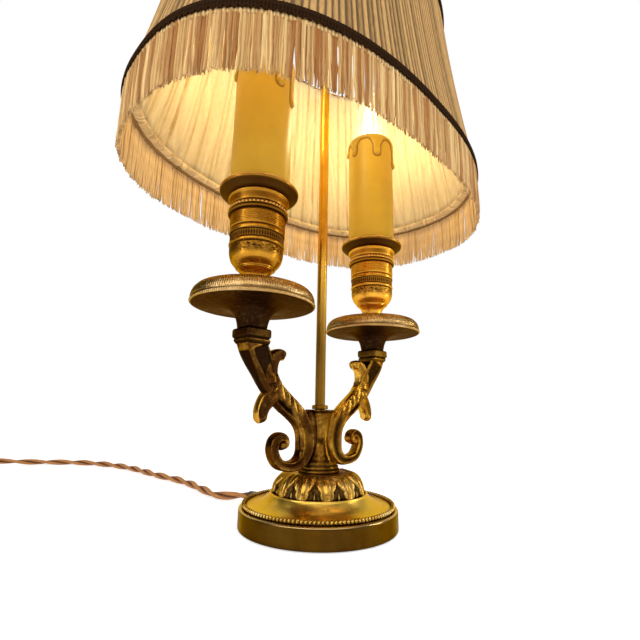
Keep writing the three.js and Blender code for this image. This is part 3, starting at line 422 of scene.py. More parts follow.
def gilt_patina():
    """Aged gilt: worn bright on open places, dark in the recesses, with painted light from the tone, painted
    shade on undersides and a fine cast grain.
    """
    w, i, o = effect("Gilt Patina", {
        "Bright": WHITE, "Body": WHITE, "Deep": BLACK, "Tone And Painted Light": 0.0, "Grain": 1.0, "Wear": 0.5, "Under": 0.5})
    place = w.place()
    cloud = w.noise(place, 55.0, 4.0, 0.6)
    speck = w.noise(place, 420.0, 2.0, 0.5)
    grain = w.noise(place, 1500.0, 2.0, 0.5)
    worn = w.ranged(w.math("ADD", cloud, w.math("MULTIPLY", speck, 0.35)), 0.66, 0.9)
    rubbed = w.math("MAXIMUM", w.math("MULTIPLY", worn, i["Wear"]), w.ranged(i["Tone And Painted Light"], 0.0, -0.7))
    base = w.mixed(rubbed, i["Body"], i["Bright"])
    ragged = w.math("ADD", i["Tone And Painted Light"], w.math("MULTIPLY", w.math("SUBTRACT", speck, 0.5), 0.3))
    # Painted shade on undersides
    ragged = w.math("ADD", ragged, w.math("MULTIPLY", underside(w), i["Under"]))
    dark = w.ranged(ragged, 0.1, 1.0)
    w.join(w.mixed(dark, base, i["Deep"]), o["Colour"])
    rough = w.math("ADD", w.ranged(cloud, 0.3, 0.7, 0.16, 0.3), w.math("MULTIPLY", dark, 0.3))
    w.join(rough, o["Roughness"])
    height = w.math("ADD", w.math("MULTIPLY", grain, 0.4), w.math("MULTIPLY", speck, 0.9))
    w.join(w.bump(height, w.math("MULTIPLY", i["Grain"], 0.22), 0.0006), o["Normal"])
    return w.tree


def turned_lacquer():
    """Polished brass under old lacquer: faint turning lines, clouds, a few dark pits, painted reflection
    streaks and painted shade on undersides.
    """
    w, i, o = effect("Turned Lacquer", {
        "Bright": WHITE, "Body": WHITE, "Deep": BLACK, "Tone And Painted Light": 0.0, "Pits": 0.4, "Under": 0.5, "Gloss": 0.15,
        "Painted Reflection": 0.0, "Rubbed": (0.78, 0.54, 0.23, 1)})
    place = w.place()
    cloud = w.noise(place, 38.0, 4.0, 0.6)
    lines = w.noise(w.stretched(place, (60.0, 60.0, 1400.0)), 1.0, 3.0, 0.6)
    pits = w.node("ShaderNodeTexVoronoi", {"Vector": place, "Scale": 130.0}).outputs[0]
    spots = w.math("MULTIPLY", w.ranged(pits, 0.17, 0.09), w.ranged(w.noise(place, 45.0, 1.0), 0.56, 0.64))
    base = w.mixed(w.ranged(cloud, 0.32, 0.7), i["Body"], i["Bright"])
    base = w.mixed(w.ranged(lines, 0.35, 0.75, 0.0, 0.15), base, i["Body"], "MULTIPLY")
    # Painted reflection: dark vertical bands, scaled by the Painted Reflection input
    reflection_bands = w.noise(w.stretched(place, (42.0, 42.0, 2.5)), 1.0, 2.0, 0.5)
    painted_reflection = w.math("MULTIPLY", w.ranged(reflection_bands, 0.4, 0.62), i["Painted Reflection"])
    # Painted shade on undersides, with the painted reflection bands
    deep = w.math("ADD", w.math("ADD", i["Tone And Painted Light"], painted_reflection), w.math("MULTIPLY", underside(w), i["Under"]))
    dark = w.math("MAXIMUM", w.math("MULTIPLY", spots, i["Pits"]), w.ranged(deep, 0.05, 1.0), clamp=True)
    base = w.mixed(w.ranged(i["Tone And Painted Light"], 0.0, -0.7), base, i["Rubbed"])
    w.join(w.mixed(dark, base, i["Deep"]), o["Colour"])
    rough = w.math("ADD", w.ranged(cloud, 0.3, 0.7, 0.0, 0.1), w.math("MULTIPLY", dark, 0.3))
    rough = w.math("ADD", rough, i["Gloss"])
    w.join(rough, o["Roughness"])
    w.join(w.bump(w.math("SUBTRACT", lines, spots), 0.12, 0.0004), o["Normal"])
    return w.tree


def thread_weave():
    """Woven cloth on the UV in metres: threads both ways, with slubs along them."""
    w, i, o = effect("Thread Weave", {
        "Colour": WHITE, "Shade": BLACK, "Tone And Painted Light": 0.0, "Across": 2500.0, "Along": 2500.0, "Depth": 0.3},
        ("Colour", "Normal"))
    flat = w.place("UV")
    split = w.node("ShaderNodeSeparateXYZ", {0: flat})
    warp = w.math("SINE", w.math("MULTIPLY", split.outputs[0], w.math("MULTIPLY", i["Across"], 6.2832)))
    weft = w.math("SINE", w.math("MULTIPLY", split.outputs[1], w.math("MULTIPLY", i["Along"], 6.2832)))
    slub = w.noise(w.stretched(flat, (1600.0, 90.0, 1.0)), 1.0, 3.0, 0.6)
    height = w.math("ADD", w.math("MULTIPLY", w.math("ADD", warp, weft), 0.25), slub)
    worn = w.ranged(slub, 0.3, 0.75, 0.45, 0.0)
    amount = w.math("ADD", worn, w.math("MULTIPLY", i["Tone And Painted Light"], 0.9), clamp=True)
    w.join(w.mixed(amount, i["Colour"], i["Shade"]), o["Colour"])
    w.join(w.bump(height, i["Depth"], 0.0002), o["Normal"])
    return w.tree


def soft_mottle():
    """Slow clouds and fine grain for moulded, waxed, felted and cast surfaces."""
    w, i, o = effect("Soft Mottle", {
        "Colour": WHITE, "Shade": BLACK, "Tone And Painted Light": 0.0, "Size": 0.01, "Depth": 0.2, "Roughness": 0.5,
        "Cloud": 0.6})
    place = w.place()
    scale = w.math("DIVIDE", 1.0, i["Size"])
    cloud = w.noise(place, scale, 4.0, 0.6)
    grain = w.noise(place, w.math("MULTIPLY", scale, 14.0), 2.0, 0.5)
    amount = w.math("ADD", w.math("MULTIPLY", w.ranged(cloud, 0.35, 0.75), i["Cloud"]), i["Tone And Painted Light"], clamp=True)
    w.join(w.mixed(amount, i["Colour"], i["Shade"]), o["Colour"])
    w.join(w.math("ADD", i["Roughness"], w.ranged(grain, 0.3, 0.7, -0.06, 0.08)), o["Roughness"])
    w.join(w.bump(w.math("ADD", cloud, grain), i["Depth"], 0.0004), o["Normal"])
    return w.tree


def finish(name, group, inputs, outputs=("Colour", "Roughness", "Normal"), **sockets):
    """A material whose Principled shader takes the named outputs of one effect group.

    It is returned with its wiring and its shader. A socket's value is given under its name with underscores.
    """
    made = bpy.data.materials.new(name)
    made.use_nodes = True
    w = Wiring(made.node_tree)
    shader = made.node_tree.nodes["Principled BSDF"]
    tone_and_painted_light = w.node("ShaderNodeAttribute", attribute_name="tone_and_painted_light").outputs["Fac"]
    if group not in bpy.data.node_groups:
        EFFECTS[group]()
    node = w.node("ShaderNodeGroup", node_tree=bpy.data.node_groups[group])
    w.fill(node, {"Tone And Painted Light": tone_and_painted_light, **inputs})
    for label in outputs:
        w.join(node.outputs[label], shader.inputs["Base Color" if label == "Colour" else label])
    w.fill(shader, {key.replace("_", " "): value for key, value in sockets.items()})
    return made, w, shader


EFFECTS = {"Gilt Patina": gilt_patina, "Turned Lacquer": turned_lacquer, "Thread Weave": thread_weave,
           "Soft Mottle": soft_mottle}


def ready(name, maker):
    """The material of that name, made on first use."""
    return bpy.data.materials.get(name) or maker(name)


def darker(values, amount):
    """The colour times amount."""
    return tuple(v * amount for v in values)


def bulb_colour():
    """Colour of the light of the bulbs."""
    return tuple(bpy.context.scene.lamp_finishes.glow)


def gilt(name="Aged Gilt", wear=0.55, grain=1.0, under=0.5, **colours):
    """Aged gilt. Wear is how much is rubbed bright, grain the cast texture, under the strength of painted shade
    on undersides.
    """
    c = bpy.context.scene.lamp_finishes
    return ready(name, lambda label: finish(label, "Gilt Patina", {
        "Bright": c.gilt_bright, "Body": c.gilt_body, "Deep": c.gilt_deep, **colours,
        "Wear": wear, "Grain": grain, "Under": under}, Metallic=1.0, Specular_Tint=(0.7, 0.5, 0.24, 1))[0])


def brass(name="Polished Brass", pits=0.3, tone=1.0, under=0.4, gloss=0.15, painted_reflection=0.0, **colours):
    """Lacquered brass. Tone scales its two colours, gloss is its least roughness, under sets painted shade on
    undersides and painted_reflection painted streaks.
    """
    c = bpy.context.scene.lamp_finishes
    return ready(name, lambda label: finish(label, "Turned Lacquer", {
        "Bright": darker(c.brass_bright, tone), "Body": darker(c.brass_body, tone), "Deep": c.gilt_deep,
        **colours, "Pits": pits, "Under": under, "Gloss": gloss, "Painted Reflection": painted_reflection},
        Metallic=1.0, Specular_Tint=(0.8, 0.6, 0.3, 1))[0])


def moulded(name, base, size=0.01, depth=0.1, roughness=0.35, shade=0.6, **sockets):
    """A mottled solid. Its clouds are base times shade, and size is their width in metres."""
    return ready(name, lambda label: finish(label, "Soft Mottle", {
        "Colour": base, "Shade": darker(base, shade), "Size": size, "Depth": depth,
        "Roughness": roughness}, **sockets)[0])


def cloth(name, base, shade, across, along, depth=0.3, roughness=0.8, **sockets):
    """Woven cloth. Across and along are its threads to the metre."""
    return ready(name, lambda label: finish(label, "Thread Weave", {
        "Colour": base, "Shade": shade, "Across": across, "Along": along, "Depth": depth},
        outputs=("Colour", "Normal"), Roughness=roughness, **sockets)[0])


def plain_steel():
    """Steel of the base's plate, washer and nut, and of the nipples."""
    return moulded("Plain Steel", paint("8c8a86"), 0.01, 0.1, 0.4, 0.8, Metallic=1.0)


def white_glaze():
    """Glaze of the connector block and the lampholders."""
    return moulded("White Glaze", paint("e6e0d0"), 0.02, 0.03, 0.25, 0.9)


# Shade outline

def shade_scale(z):
    """Size of the shade's outline at a level, against its rim: the wall leans in and sags a little."""
    rise = np.maximum(z - SHADE_RIM, 0)
    return 1 - 0.00156 * rise + 0.000003 * rise ** 2


def oval(angle, offset, z):
    """x = a |cos t|^(2/n), y = b |sin t|^(2/n) with their signs, n 2.42, as the CAD outline has it."""
    power = 2 / 2.42
    x = (SHADE_HALF_LENGTH * shade_scale(z) + offset) * bent(np.cos(angle), power)
    y = (SHADE_HALF_WIDTH * shade_scale(z) + offset) * bent(np.sin(angle), power)
    return np.stack(np.broadcast_arrays(x, y, z), -1)


def round_the_rim(count):
    """Angles at an even spacing of length round the rim, the outward normals there, and the rim's length."""
    fine = np.linspace(0, TURN, 7200)
    line = oval(fine, 0.0, np.float64(SHADE_RIM))
    reach = reach_of(line)
    angle = np.interp(np.arange(count) / count * reach[-1], reach, fine)
    along = oval(angle + 0.004, 0, SHADE_RIM) - oval(angle - 0.004, 0, SHADE_RIM)
    return angle, unit(np.stack([along[:, 1], -along[:, 0], 0 * angle], -1)), reach[-1]


def shade_band(section, count, relief):
    """A band round the shade: section rows are offset and height, and the last row joins the first.

    relief(u, v, z) gives the rise, the tone and, if wanted, the lift of each point. u and v run from 0 to 1
    round the rim and along the section.
    """
    angle, normal, _ = round_the_rim(count)
    offset, z = section[:, :1], section[:, 1:2]
    u = (np.arange(count) / count)[None, :]
    v = np.linspace(0, 1, len(section))[:, None]
    rise, tone, *lift = relief(u, v, z + 0 * u)
    points = oval(angle[None, :], offset, z) + normal[None] * (rise + 0 * u * v)[..., None]
    points[..., 2] += sum(lift)
    return grid(points, tone + 0 * u * v, round_v=True)


class LampMaker:
    """What the operators share"""
    bl_options = {"REGISTER", "UNDO"}


class LAMP_OT_stage(LampMaker, bpy.types.Operator):
    """Make the floor, the world, the lights and the camera"""
    bl_idname = "lamp.stage"
    bl_label = "Stage"

    def execute(self, context):
        scene, s = context.scene, context.scene.lamp_stage
        scene.view_settings.view_transform = "Standard"
        self.make_camera(scene, s)
        self.make_world(scene, s)
        self.make_lights(scene, s)
        self.make_floor(scene)
        return {"FINISHED"}

    def make_camera(self, scene, s):
        """A camera that looks level along +Y at first, then turns right, pitches up and rolls."""
        turn, pitch, roll = s.camera_turn
        forward = Vector((math.sin(turn) * math.cos(pitch), math.cos(turn) * math.cos(pitch), math.sin(pitch)))
        right = Vector((math.cos(turn), -math.sin(turn), 0))
        up = right.cross(forward)
        across = right * math.cos(roll) + up * math.sin(roll)
        above = up * math.cos(roll) - right * math.sin(roll)
        data = bpy.data.cameras.new("Camera")
        data.lens = s.lens
        data.sensor_width = 36
        data.clip_start = 0.01
        data.clip_end = 20
        camera = bpy.data.objects.new("Camera", data)
        axes = Matrix((across, above, -forward)).transposed().to_4x4()
        camera.matrix_world = Matrix.Translation(s.camera_place) @ axes
        scene.collection.objects.link(camera)
        scene.camera = camera

    def make_world(self, scene, s):
        """White for the camera and through glass, and an even light for diffuse rays.

        Mirrored rays see white on the far side of the lamp, and elsewhere a dim room with bright windows.
        """
        room_side = (-0.714, -0.7, 0.0)
        world = bpy.data.worlds.new("Studio")
        world.use_nodes = True
        w = Wiring(world.node_tree)
        world.node_tree.nodes.clear()
        rays = w.node("ShaderNodeLightPath").outputs
        way = w.place("Generated")
        behind = w.node("ShaderNodeVectorMath", {0: way, 1: room_side}, operation="DOT_PRODUCT")
        windows = w.ranged(w.noise(way, 2.6, 1.0, 0.4), 0.53, 0.6, 0.06, 0.9)
        mirrored = w.ranged(behind.outputs["Value"], -0.9, -0.35, 1.0, windows)
        unseen = w.ranged(rays["Is Glossy Ray"], 0.0, 1.0, s.room, mirrored)
        seen = w.math("MAXIMUM", rays["Is Camera Ray"], rays["Is Transmission Ray"])
        strength = w.ranged(seen, 0.0, 1.0, unseen, 1.0)
        background = w.node("ShaderNodeBackground", {"Color": WHITE, "Strength": strength})
        w.node("ShaderNodeOutputWorld", {"Surface": background.outputs[0]})
        scene.world = world

    def make_lights(self, scene, s):
        """Four soft lamps round the lamp, and one small light in each bulb."""
        for name, power, wide, tall, place, aim in (
            ("Key Light", s.key, 1.1, 1.1, (-1.05, -0.45, 0.95), (0, 0, 0.2)),
            ("Fill Light", s.fill, 0.7, 0.7, (-0.3, -1.05, 0.85), (0, 0, 0.2)),
            ("Left Strip", s.strip, 0.12, 0.9, (-1.0, 0.12, 0.42), (0, 0, 0.15)),
            ("Right Strip", 2 * s.strip, 0.1, 0.9, (0.75, -0.75, 0.42), (0, 0, 0.15)),
        ):
            data = bpy.data.lights.new(name, "AREA")
            data.energy = power
            data.shape = "RECTANGLE"
            data.size, data.size_y = wide, tall
            lamp = bpy.data.objects.new(name, data)
            turn = (Vector(aim) - Vector(place)).to_track_quat("-Z", "Y")
            lamp.matrix_world = Matrix.Translation(place) @ turn.to_matrix().to_4x4()
            scene.collection.objects.link(lamp)
        for tag, side in SIDES.items():
            data = bpy.data.lights.new(f"{tag} bulb light", "POINT")
            data.energy = s.bulb
            data.color = bulb_colour()
            data.shadow_soft_size = 0.012
            lamp = bpy.data.objects.new(f"{tag} bulb light", data)
            lamp.location = (side * ARM_REACH * MM, 0, 0.352)
            lamp.visible_transmission = False
            scene.collection.objects.link(lamp)

    def make_floor(self, scene):
        """Five rings of points, a hair below the lamp, and a paper that whitens away from the lamp."""
        sides, low = 96, -0.02
        angle = around(sides)[None, :]
        r = np.array([0.0, 400, 900, 1800, 4000])[:, None]
        points = np.stack([r * np.cos(angle), r * np.sin(angle), 0 * angle * r + low], -1)
        made, w, shader = finish("Paper Floor", "Soft Mottle", {
            "Colour": (0.9, 0.9, 0.9), "Shade": (0.88, 0.88, 0.88), "Size": 0.05, "Depth": 0.0,
            "Roughness": 0.8}, Emission_Color=WHITE)
        rays = w.node("ShaderNodeLightPath").outputs
        mirrored = w.math("MAXIMUM", rays["Is Glossy Ray"], rays["Is Transmission Ray"])
        seen = w.math("MAXIMUM", rays["Is Camera Ray"], mirrored)
        reach = w.node("ShaderNodeVectorMath", {0: w.place()}, operation="LENGTH").outputs["Value"]
        glow = w.math("MULTIPLY", seen, w.ranged(reach, 0.5, 1.6, 0.5, 1.0))
        w.join(glow, shader.inputs["Emission Strength"])
        mesh = bpy.data.meshes.new("Floor")
        k = np.arange(4 * sides).reshape(4, sides)
        beside = np.roll(k, -1, 1)
        quads = np.stack([k, k + sides, beside + sides, beside], -1).reshape(-1, 4)
        mesh.from_pydata((points.reshape(-1, 3) * MM).tolist(), [], quads.tolist())
        mesh.materials.append(made)
        floor = bpy.data.objects.new("Floor", mesh)
        scene.collection.objects.link(floor)


# Route of the cord's middle line, in millimetres, as the CAD model has it
LEAD = [
    (0, 54, 6.6), (0, 66, 6.6), (0, 77, 6.6), (0, 80.7, 6.5), (-2.2, 90, 5.6), (-6, 100, 4.2),
    (-8.2, 112, 3.25), (-6, 139, 3.25), (-1.6, 171, 3.25), (-0.6, 201, 3.25), (-3.4, 230, 3.25),
    (-4.6, 260, 3.25), (-5.4, 289, 3.25), (-8, 314, 3.25), (-14.5, 342, 3.25), (-28, 374, 3.25),
    (-48, 400, 3.25), (-72, 417.5, 3.65), (-98, 427, 5.25), (-112, 429.4, 6.65), (-120, 430.19, 7.2),
    (-132, 430.19, 7.2),
]
LINK = [
    (-150, 430.19, 7.2), (-172, 430.19, 7.2), (-180, 430.19, 7.2), (-190.75, 430.19, 5.725),
    (-197.5, 430.19, 4.25), (-201.5, 430.19, 4.25),
]
TAIL = [
    (-253.19, 374.5, 11.25), (-253.19, 366.5, 9.05), (-252.59, 355.5, 7.05), (-248.99, 337.5, 4.65),
    (-240.19, 322.1, 4.85), (-229.19, 312.9, 6.05), (-220.19, 310.5, 6.8), (-213.5, 310.5, 6.8),
]
COIL_CENTRE = (-208.0, 385.0)
COIL_TURNS = 5.25
COIL_RADIUS = 45.1875
COIL_PITCH = 7
COIL_LOW = 4.25
STRAND_RADIUS = 1.7
STRAND_APART = 1.55


def coil_line():
    """Inwards on the lower layer and outwards on the upper one.

    r = COIL_RADIUS - COIL_PITCH min(t, COIL_TURNS - t), with t in turns.
    """
    turn = np.arange(127) / 24
    angle = np.pi / 2 + TURN * turn
    r = COIL_RADIUS - COIL_PITCH * np.minimum(turn, COIL_TURNS - turn)
    z = COIL_LOW + COIL_PITCH * smoothstep(turn, COIL_TURNS / 2 - 0.25, COIL_TURNS / 2 + 0.25)
    return np.stack([COIL_CENTRE[0] + r * np.cos(angle), COIL_CENTRE[1] + r * np.sin(angle), z], 1)


class LAMP_OT_cord(LampMaker, bpy.types.Operator):
    """Make the twisted cord with its relief, switch, tie and plug"""
    bl_idname = "lamp.cord"
    bl_label = "Cord"

    def execute(self, context):
        route = np.concatenate([LEAD, LINK, coil_line(), [(-253.1875, 378.5, 11.25)], TAIL])
        line = flow(route, 1.5)
        reach = reach_of(line)
        lay = context.scene.lamp_details.cord_lay / MM
        heading = unit(np.gradient(line, axis=0))
        side = unit(np.cross((0, 0, 1.0), heading))
        top = np.cross(heading, side)
        strands = []
        for start in (0, np.pi):
            twist = (TURN * reach / lay + start)[:, None]
            strand = tube(line + STRAND_APART * (side * np.cos(twist) + top * np.sin(twist)), STRAND_RADIUS, 10)
            apart = np.linalg.norm(strand["points"] - with_ends(line)[:, None], axis=2)
            # Painted shade darkens each strand where it lies against the other.
            strand["tone"] = 1 - smoothstep(apart, 1.2, 2.6)
            strands.append(strand)
        c = context.scene.lamp_finishes
        silk = cloth("Cord Silk", c.cord, paint("6a3a1a"), 1200.0, 620.0, 0.55, 0.62)
        piece = surface("twisted_cord", strands, silk, "stand",
                        ["cord_lead", "cord_link", "cord_coil", "cord_tail"])
        dark = moulded("Dark Moulding", c.bakelite, 0.006, 0.06, 0.3)
        cream = moulded("Cream Moulding", paint("dccda4"), 0.006, 0.05, 0.35)
        strap = cloth("Tie Strap", paint("1c1a18"), paint("0b0a09"), 1500.0, 900.0, 0.4, 0.8)
        for name in ("cord_relief", "switch_base", "switch_cover", "plug_body"):
            dress(name, dark, 0.7)
        dress("switch_rocker", cream, 0.4)
        tie = surface("coil_strap", [self.strap_loop()], strap, "stand", ["coil_tie"])
        dress("cord_inlet", silk)
        for name in ("plug_pin_a", "plug_pin_b"):
            dress(name, brass(), 0.3)
        return {"FINISHED"}

    def strap_loop(self):
        """Loop in the XZ plane: x = 13.5 |cos t|^0.3, z = 7.45 |sin t|^0.3, each with its sign.

        Its section is 0.7 mm thick along the loop's normal and 9 mm wide along Y, with rounded edges.
        """
        turn, edge = around(120), around(24)[None, :]
        outline = np.stack([13.5 * bent(np.cos(turn), 0.3), 7.45 * bent(np.sin(turn), 0.3)], 1)
        loop = even(np.concatenate([outline, outline[:1]]), 0.5)[:-1]
        heading = unit(np.roll(loop, -1, 0) - np.roll(loop, 1, 0))
        thick, wide = 0.35 * bent(np.cos(edge), 0.7), 4.5 * bent(np.sin(edge), 0.4)
        across, middle_level = COIL_CENTRE[0] + 36, 7.85
        points = np.stack([
            across + loop[:, :1] + heading[:, 1:] * thick,
            COIL_CENTRE[1] + wide + 0 * loop[:, :1],
            middle_level + loop[:, 1:] - heading[:, :1] * thick,
        ], -1)
        return grid(points, round_v=True)


def dress(name, made, edge=0.0):
    """Gives a CAD node its material, and eases its edges by that many millimetres."""
    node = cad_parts[name]
    node.data.materials.clear()
    node.data.materials.append(made)
    weld = node.modifiers.new("Weld", "WELD")
    weld.merge_threshold = 0.00001
    if edge:
        bevel = node.modifiers.new("Bevel", "BEVEL")
        bevel.width = edge * MM
        bevel.segments = 3
        bevel.limit_method = "ANGLE"
        bevel.angle_limit = math.radians(38)


class LAMP_OT_base(LampMaker, bpy.types.Operator):
    """Make the drum, bead row, hollow moulding and leaf dome"""
    bl_idname = "lamp.base"
    bl_label = "Base"

    def execute(self, context):
        d = context.scene.lamp_details
        drum = even([(51.3, 0.6), (53.2, 0.45), (53.7, 1.0), (53.7, 12.2), (53.35, 12.85), (52.7, 13.1),
                     (45, 13.1), (40, 12.9)], 0.35, 3)
        # The drum's brass is darkened and streaked as a painted dark reflection.
        spun("drum", "base_drum", brass("Drum Brass", 0.15, 0.18, 0.4, 0.2, 0.4), drum, 240,
             self.drum_relief)
        gilding = gilt("Bead Gilt", 1.0, 0.2, 0.3, Bright=paint("f2d084"), Body=paint("bc9440"))
        surface("bead_row", [self.bead_row(d.beads)], gilding, "stand", ["bead_ring"])
        hollow = np.concatenate([
            even([(49.0, 13.3), (49.0, 14.0), (48.2, 14.3)], 0.3),
            flow([(48.0, 14.3), (43.8, 14.9), (39.6, 16.2), (36.4, 18.1), (34.3, 20.1), (33.4, 21.2)], 0.4),
            even([(33.35, 21.35), (33.35, 21.9), (32.8, 22.2), (32.1, 22.0), (31.5, 21.4), (31.3, 19.3),
                  (27, 19.2)], 0.25, 2),
        ])
        lacquer = brass("Moulding Brass", 0.9, 1.3, 0.2, 0.24, Bright=paint("f8d064"), Body=paint("deac3c"))
        spun("hollow_moulding", "base_moulding", lacquer, hollow, 200, self.hollow_relief)
        dome = np.concatenate([
            flow([(25, 19.45), (29.6, 19.45), (30.2, 20.8), (30.1, 23.4), (29.4, 26.6), (27.5, 29.8),
                  (24.4, 32.4), (20.0, 34.1), (15.4, 34.7)], 0.28),
            even([(15.2, 34.7), (11.2, 34.7)], 0.6),
        ])
        gilding = gilt("Dome Gilt", 0.9, 0.8, 0.2, Bright=paint("f0c470"), Body=paint("c8963e"))
        spun("leaf_dome_cast", "leaf_dome", gilding, dome, d.leaves * 50, self.leaf_relief)
        pad = even([(9.3, 0.0), (50.2, 0.0), (50.6, 0.3), (50.6, 0.9), (50.2, 1.2), (9.3, 1.2), (9.0, 0.9),
                    (9.0, 0.3), (9.3, 0.0)], 0.5, 2)
        felt = moulded("Green Felt", paint("2e3a2a"), 0.002, 0.8, 0.95, 0.5)
        spun("felt_ring", "felt_pad", felt, pad, 200, self.felt_relief)
        dress("bottom_plate", plain_steel())
        dress("base_weight", moulded("Raw Iron", paint("33302d"), 0.004, 0.7, 0.75, 0.5))
        for name in ("tie_washer", "tie_nut"):
            dress(name, plain_steel(), 0.2)
        dress("connector_block", white_glaze(), 0.5)
        return {"FINISHED"}

    def bead_row(self, count):
        """A ring of round section, drawn in towards its middle line between the beads."""
        radius = 50.4
        section, ring = around(14), around(count * 8)
        bead = np.stack([radius + 1.25 * np.cos(section), 14.9 + 1.4 * np.sin(section)], 1)
        row = turned(np.concatenate([bead, bead[:1]]), count * 8)
        swell = np.sqrt(np.clip(1 - 0.86 * np.cos(count * ring / 2) ** 2, 0, 1))
        middle = np.stack([radius * np.cos(ring), radius * np.sin(ring), 0 * ring + 14.7], -1)
        points = middle[None] + (row["points"] - middle[None]) * swell[None, :, None]
        # Painted shade darkens the necks between the beads.
        tone = 1 - smoothstep(swell, 0.35, 0.85)[None] + 0 * points[..., 0]
        return grid(points, 0.9 * tone)

    def felt_relief(self, angle, r, z):
        """The felt gives a little and its rim is cut by hand."""
        give = 0.04 * np.sin(5 * angle + 0.11 * r) * np.sin(13 * angle - 0.2 * r)
        return give - 0.04, 0.0

    def drum_relief(self, angle, r, z):
        """A plain wall, darker at its foot, brighter on its top, with a painted highlight along its top edge
        and painted shade under the beads.
        """
        foot = 1 - smoothstep(z, 0.4, 3.4)
        top = smoothstep(z, 12.9, 13.05)
        edge = hump(r + z, 53.2 + 12.9, 0.8) * smoothstep(z, 12.2, 12.6)
        seat = top * (1 - smoothstep(r, 50.6, 51.6))
        wall = smoothstep(r, 53.4, 53.6)
        return 0.0, 0.28 * foot - 0.4 * top - 0.6 * edge + 1.2 * seat + 0.02 * wall + 0 * angle

    def hollow_relief(self, angle, r, z):
        """A plain hollow, darker at its outer rim and where the dome sits."""
        rim = smoothstep(r, 47.2, 48.6) * 0.5
        seat = (1 - smoothstep(r, 31.9, 32.7)) * 0.9
        return 0.0, rim + seat + 0 * angle

    def leaf_relief(self, angle, r, z):
        """Gadroons, over them leaves with lobes and veins, and between them ridged darts."""
        count = bpy.context.scene.lamp_details.leaves
        turn = angle * count / TURN + 0.183
        a = 2 * (turn - np.round(turn)) + 0 * r
        t = np.clip((z - DOME_BASE) / (DOME_TOP - DOME_BASE), 0, 1) + 0 * angle
        t = t * (r > 16) + (r <= 16)
        side = np.abs(a)
        bottom = 1 - smoothstep(t, 0.0, 0.13 + 0.18 * side ** 2)
        gadroon = 1.6 * np.sqrt(np.clip(1 - 0.92 * side ** 2, 0.02, 1)) - 1.0
        gadroon = gadroon * (1 - smoothstep(t, 0.8, 0.98)) - 1.1 * bottom
        half = 0.56 + 0.52 * smoothstep(t, 0.4, 0.82) + 0.03 * np.cos(11 * np.pi * t)
        edge = np.minimum((t - 0.05 - 0.8 * side ** 2.2) * 1.5, half - side)
        leaf = smoothstep(edge, 0.0, 0.09) * (1 - smoothstep(t, 0.93, 1.0))
        splay = side * (1.1 - 0.25 * t) + 0.03 * np.sin(7 * t)
        vein = np.cos(3 * np.pi * splay) * smoothstep(edge, 0.0, 0.12)
        fine = np.cos(9 * np.pi * splay + 3 * t) * smoothstep(edge, 0.04, 0.2)
        spine = hump(a, 0, 0.1) * smoothstep(t, 0.28, 0.4)
        dart_width = 0.13 * (1 - smoothstep(t, 0.05, 0.55))
        dart = smoothstep(dart_width - (1 - side), 0, 0.05) * (t < 0.55)
        rise = gadroon + leaf * (1.1 + 0.26 * vein + 0.06 * fine + 0.12 * spine) + dart * 1.2
        shadow = hump(edge, -0.03, 0.07) * (1 - dart)
        moat = hump(1 - side, dart_width + 0.06, 0.1) * (1 - smoothstep(t, 0.45, 0.7)) * (1 - dart)
        pod = 0.9 + 0.1 * bottom
        grooves = 0.5 * smoothstep(-vein, 0.0, 1.0) + 0.12 * smoothstep(-fine, 0.2, 1.0)
        # Painted shade on the gadroons, below each leaf's edge, round the darts, at the foot and between the
        # leaves at the crown.
        tone = leaf * (0.06 + grooves) + (1 - leaf) * pod * (1 - dart) + dart * 0.3
        tone = np.clip(tone + 0.5 * shadow + 0.45 * moat, 0, 0.95)
        tone = np.maximum(tone, 0.9 * (1 - smoothstep(t, 0.01, 0.05)))
        crown = smoothstep(t, 0.82, 0.95)
        tone = tone * (1 - crown) + crown * (0.3 + 0.4 * hump(a, 1, 0.4))
        inner = smoothstep(r, 14.6, 15.6)
        return rise * inner, tone


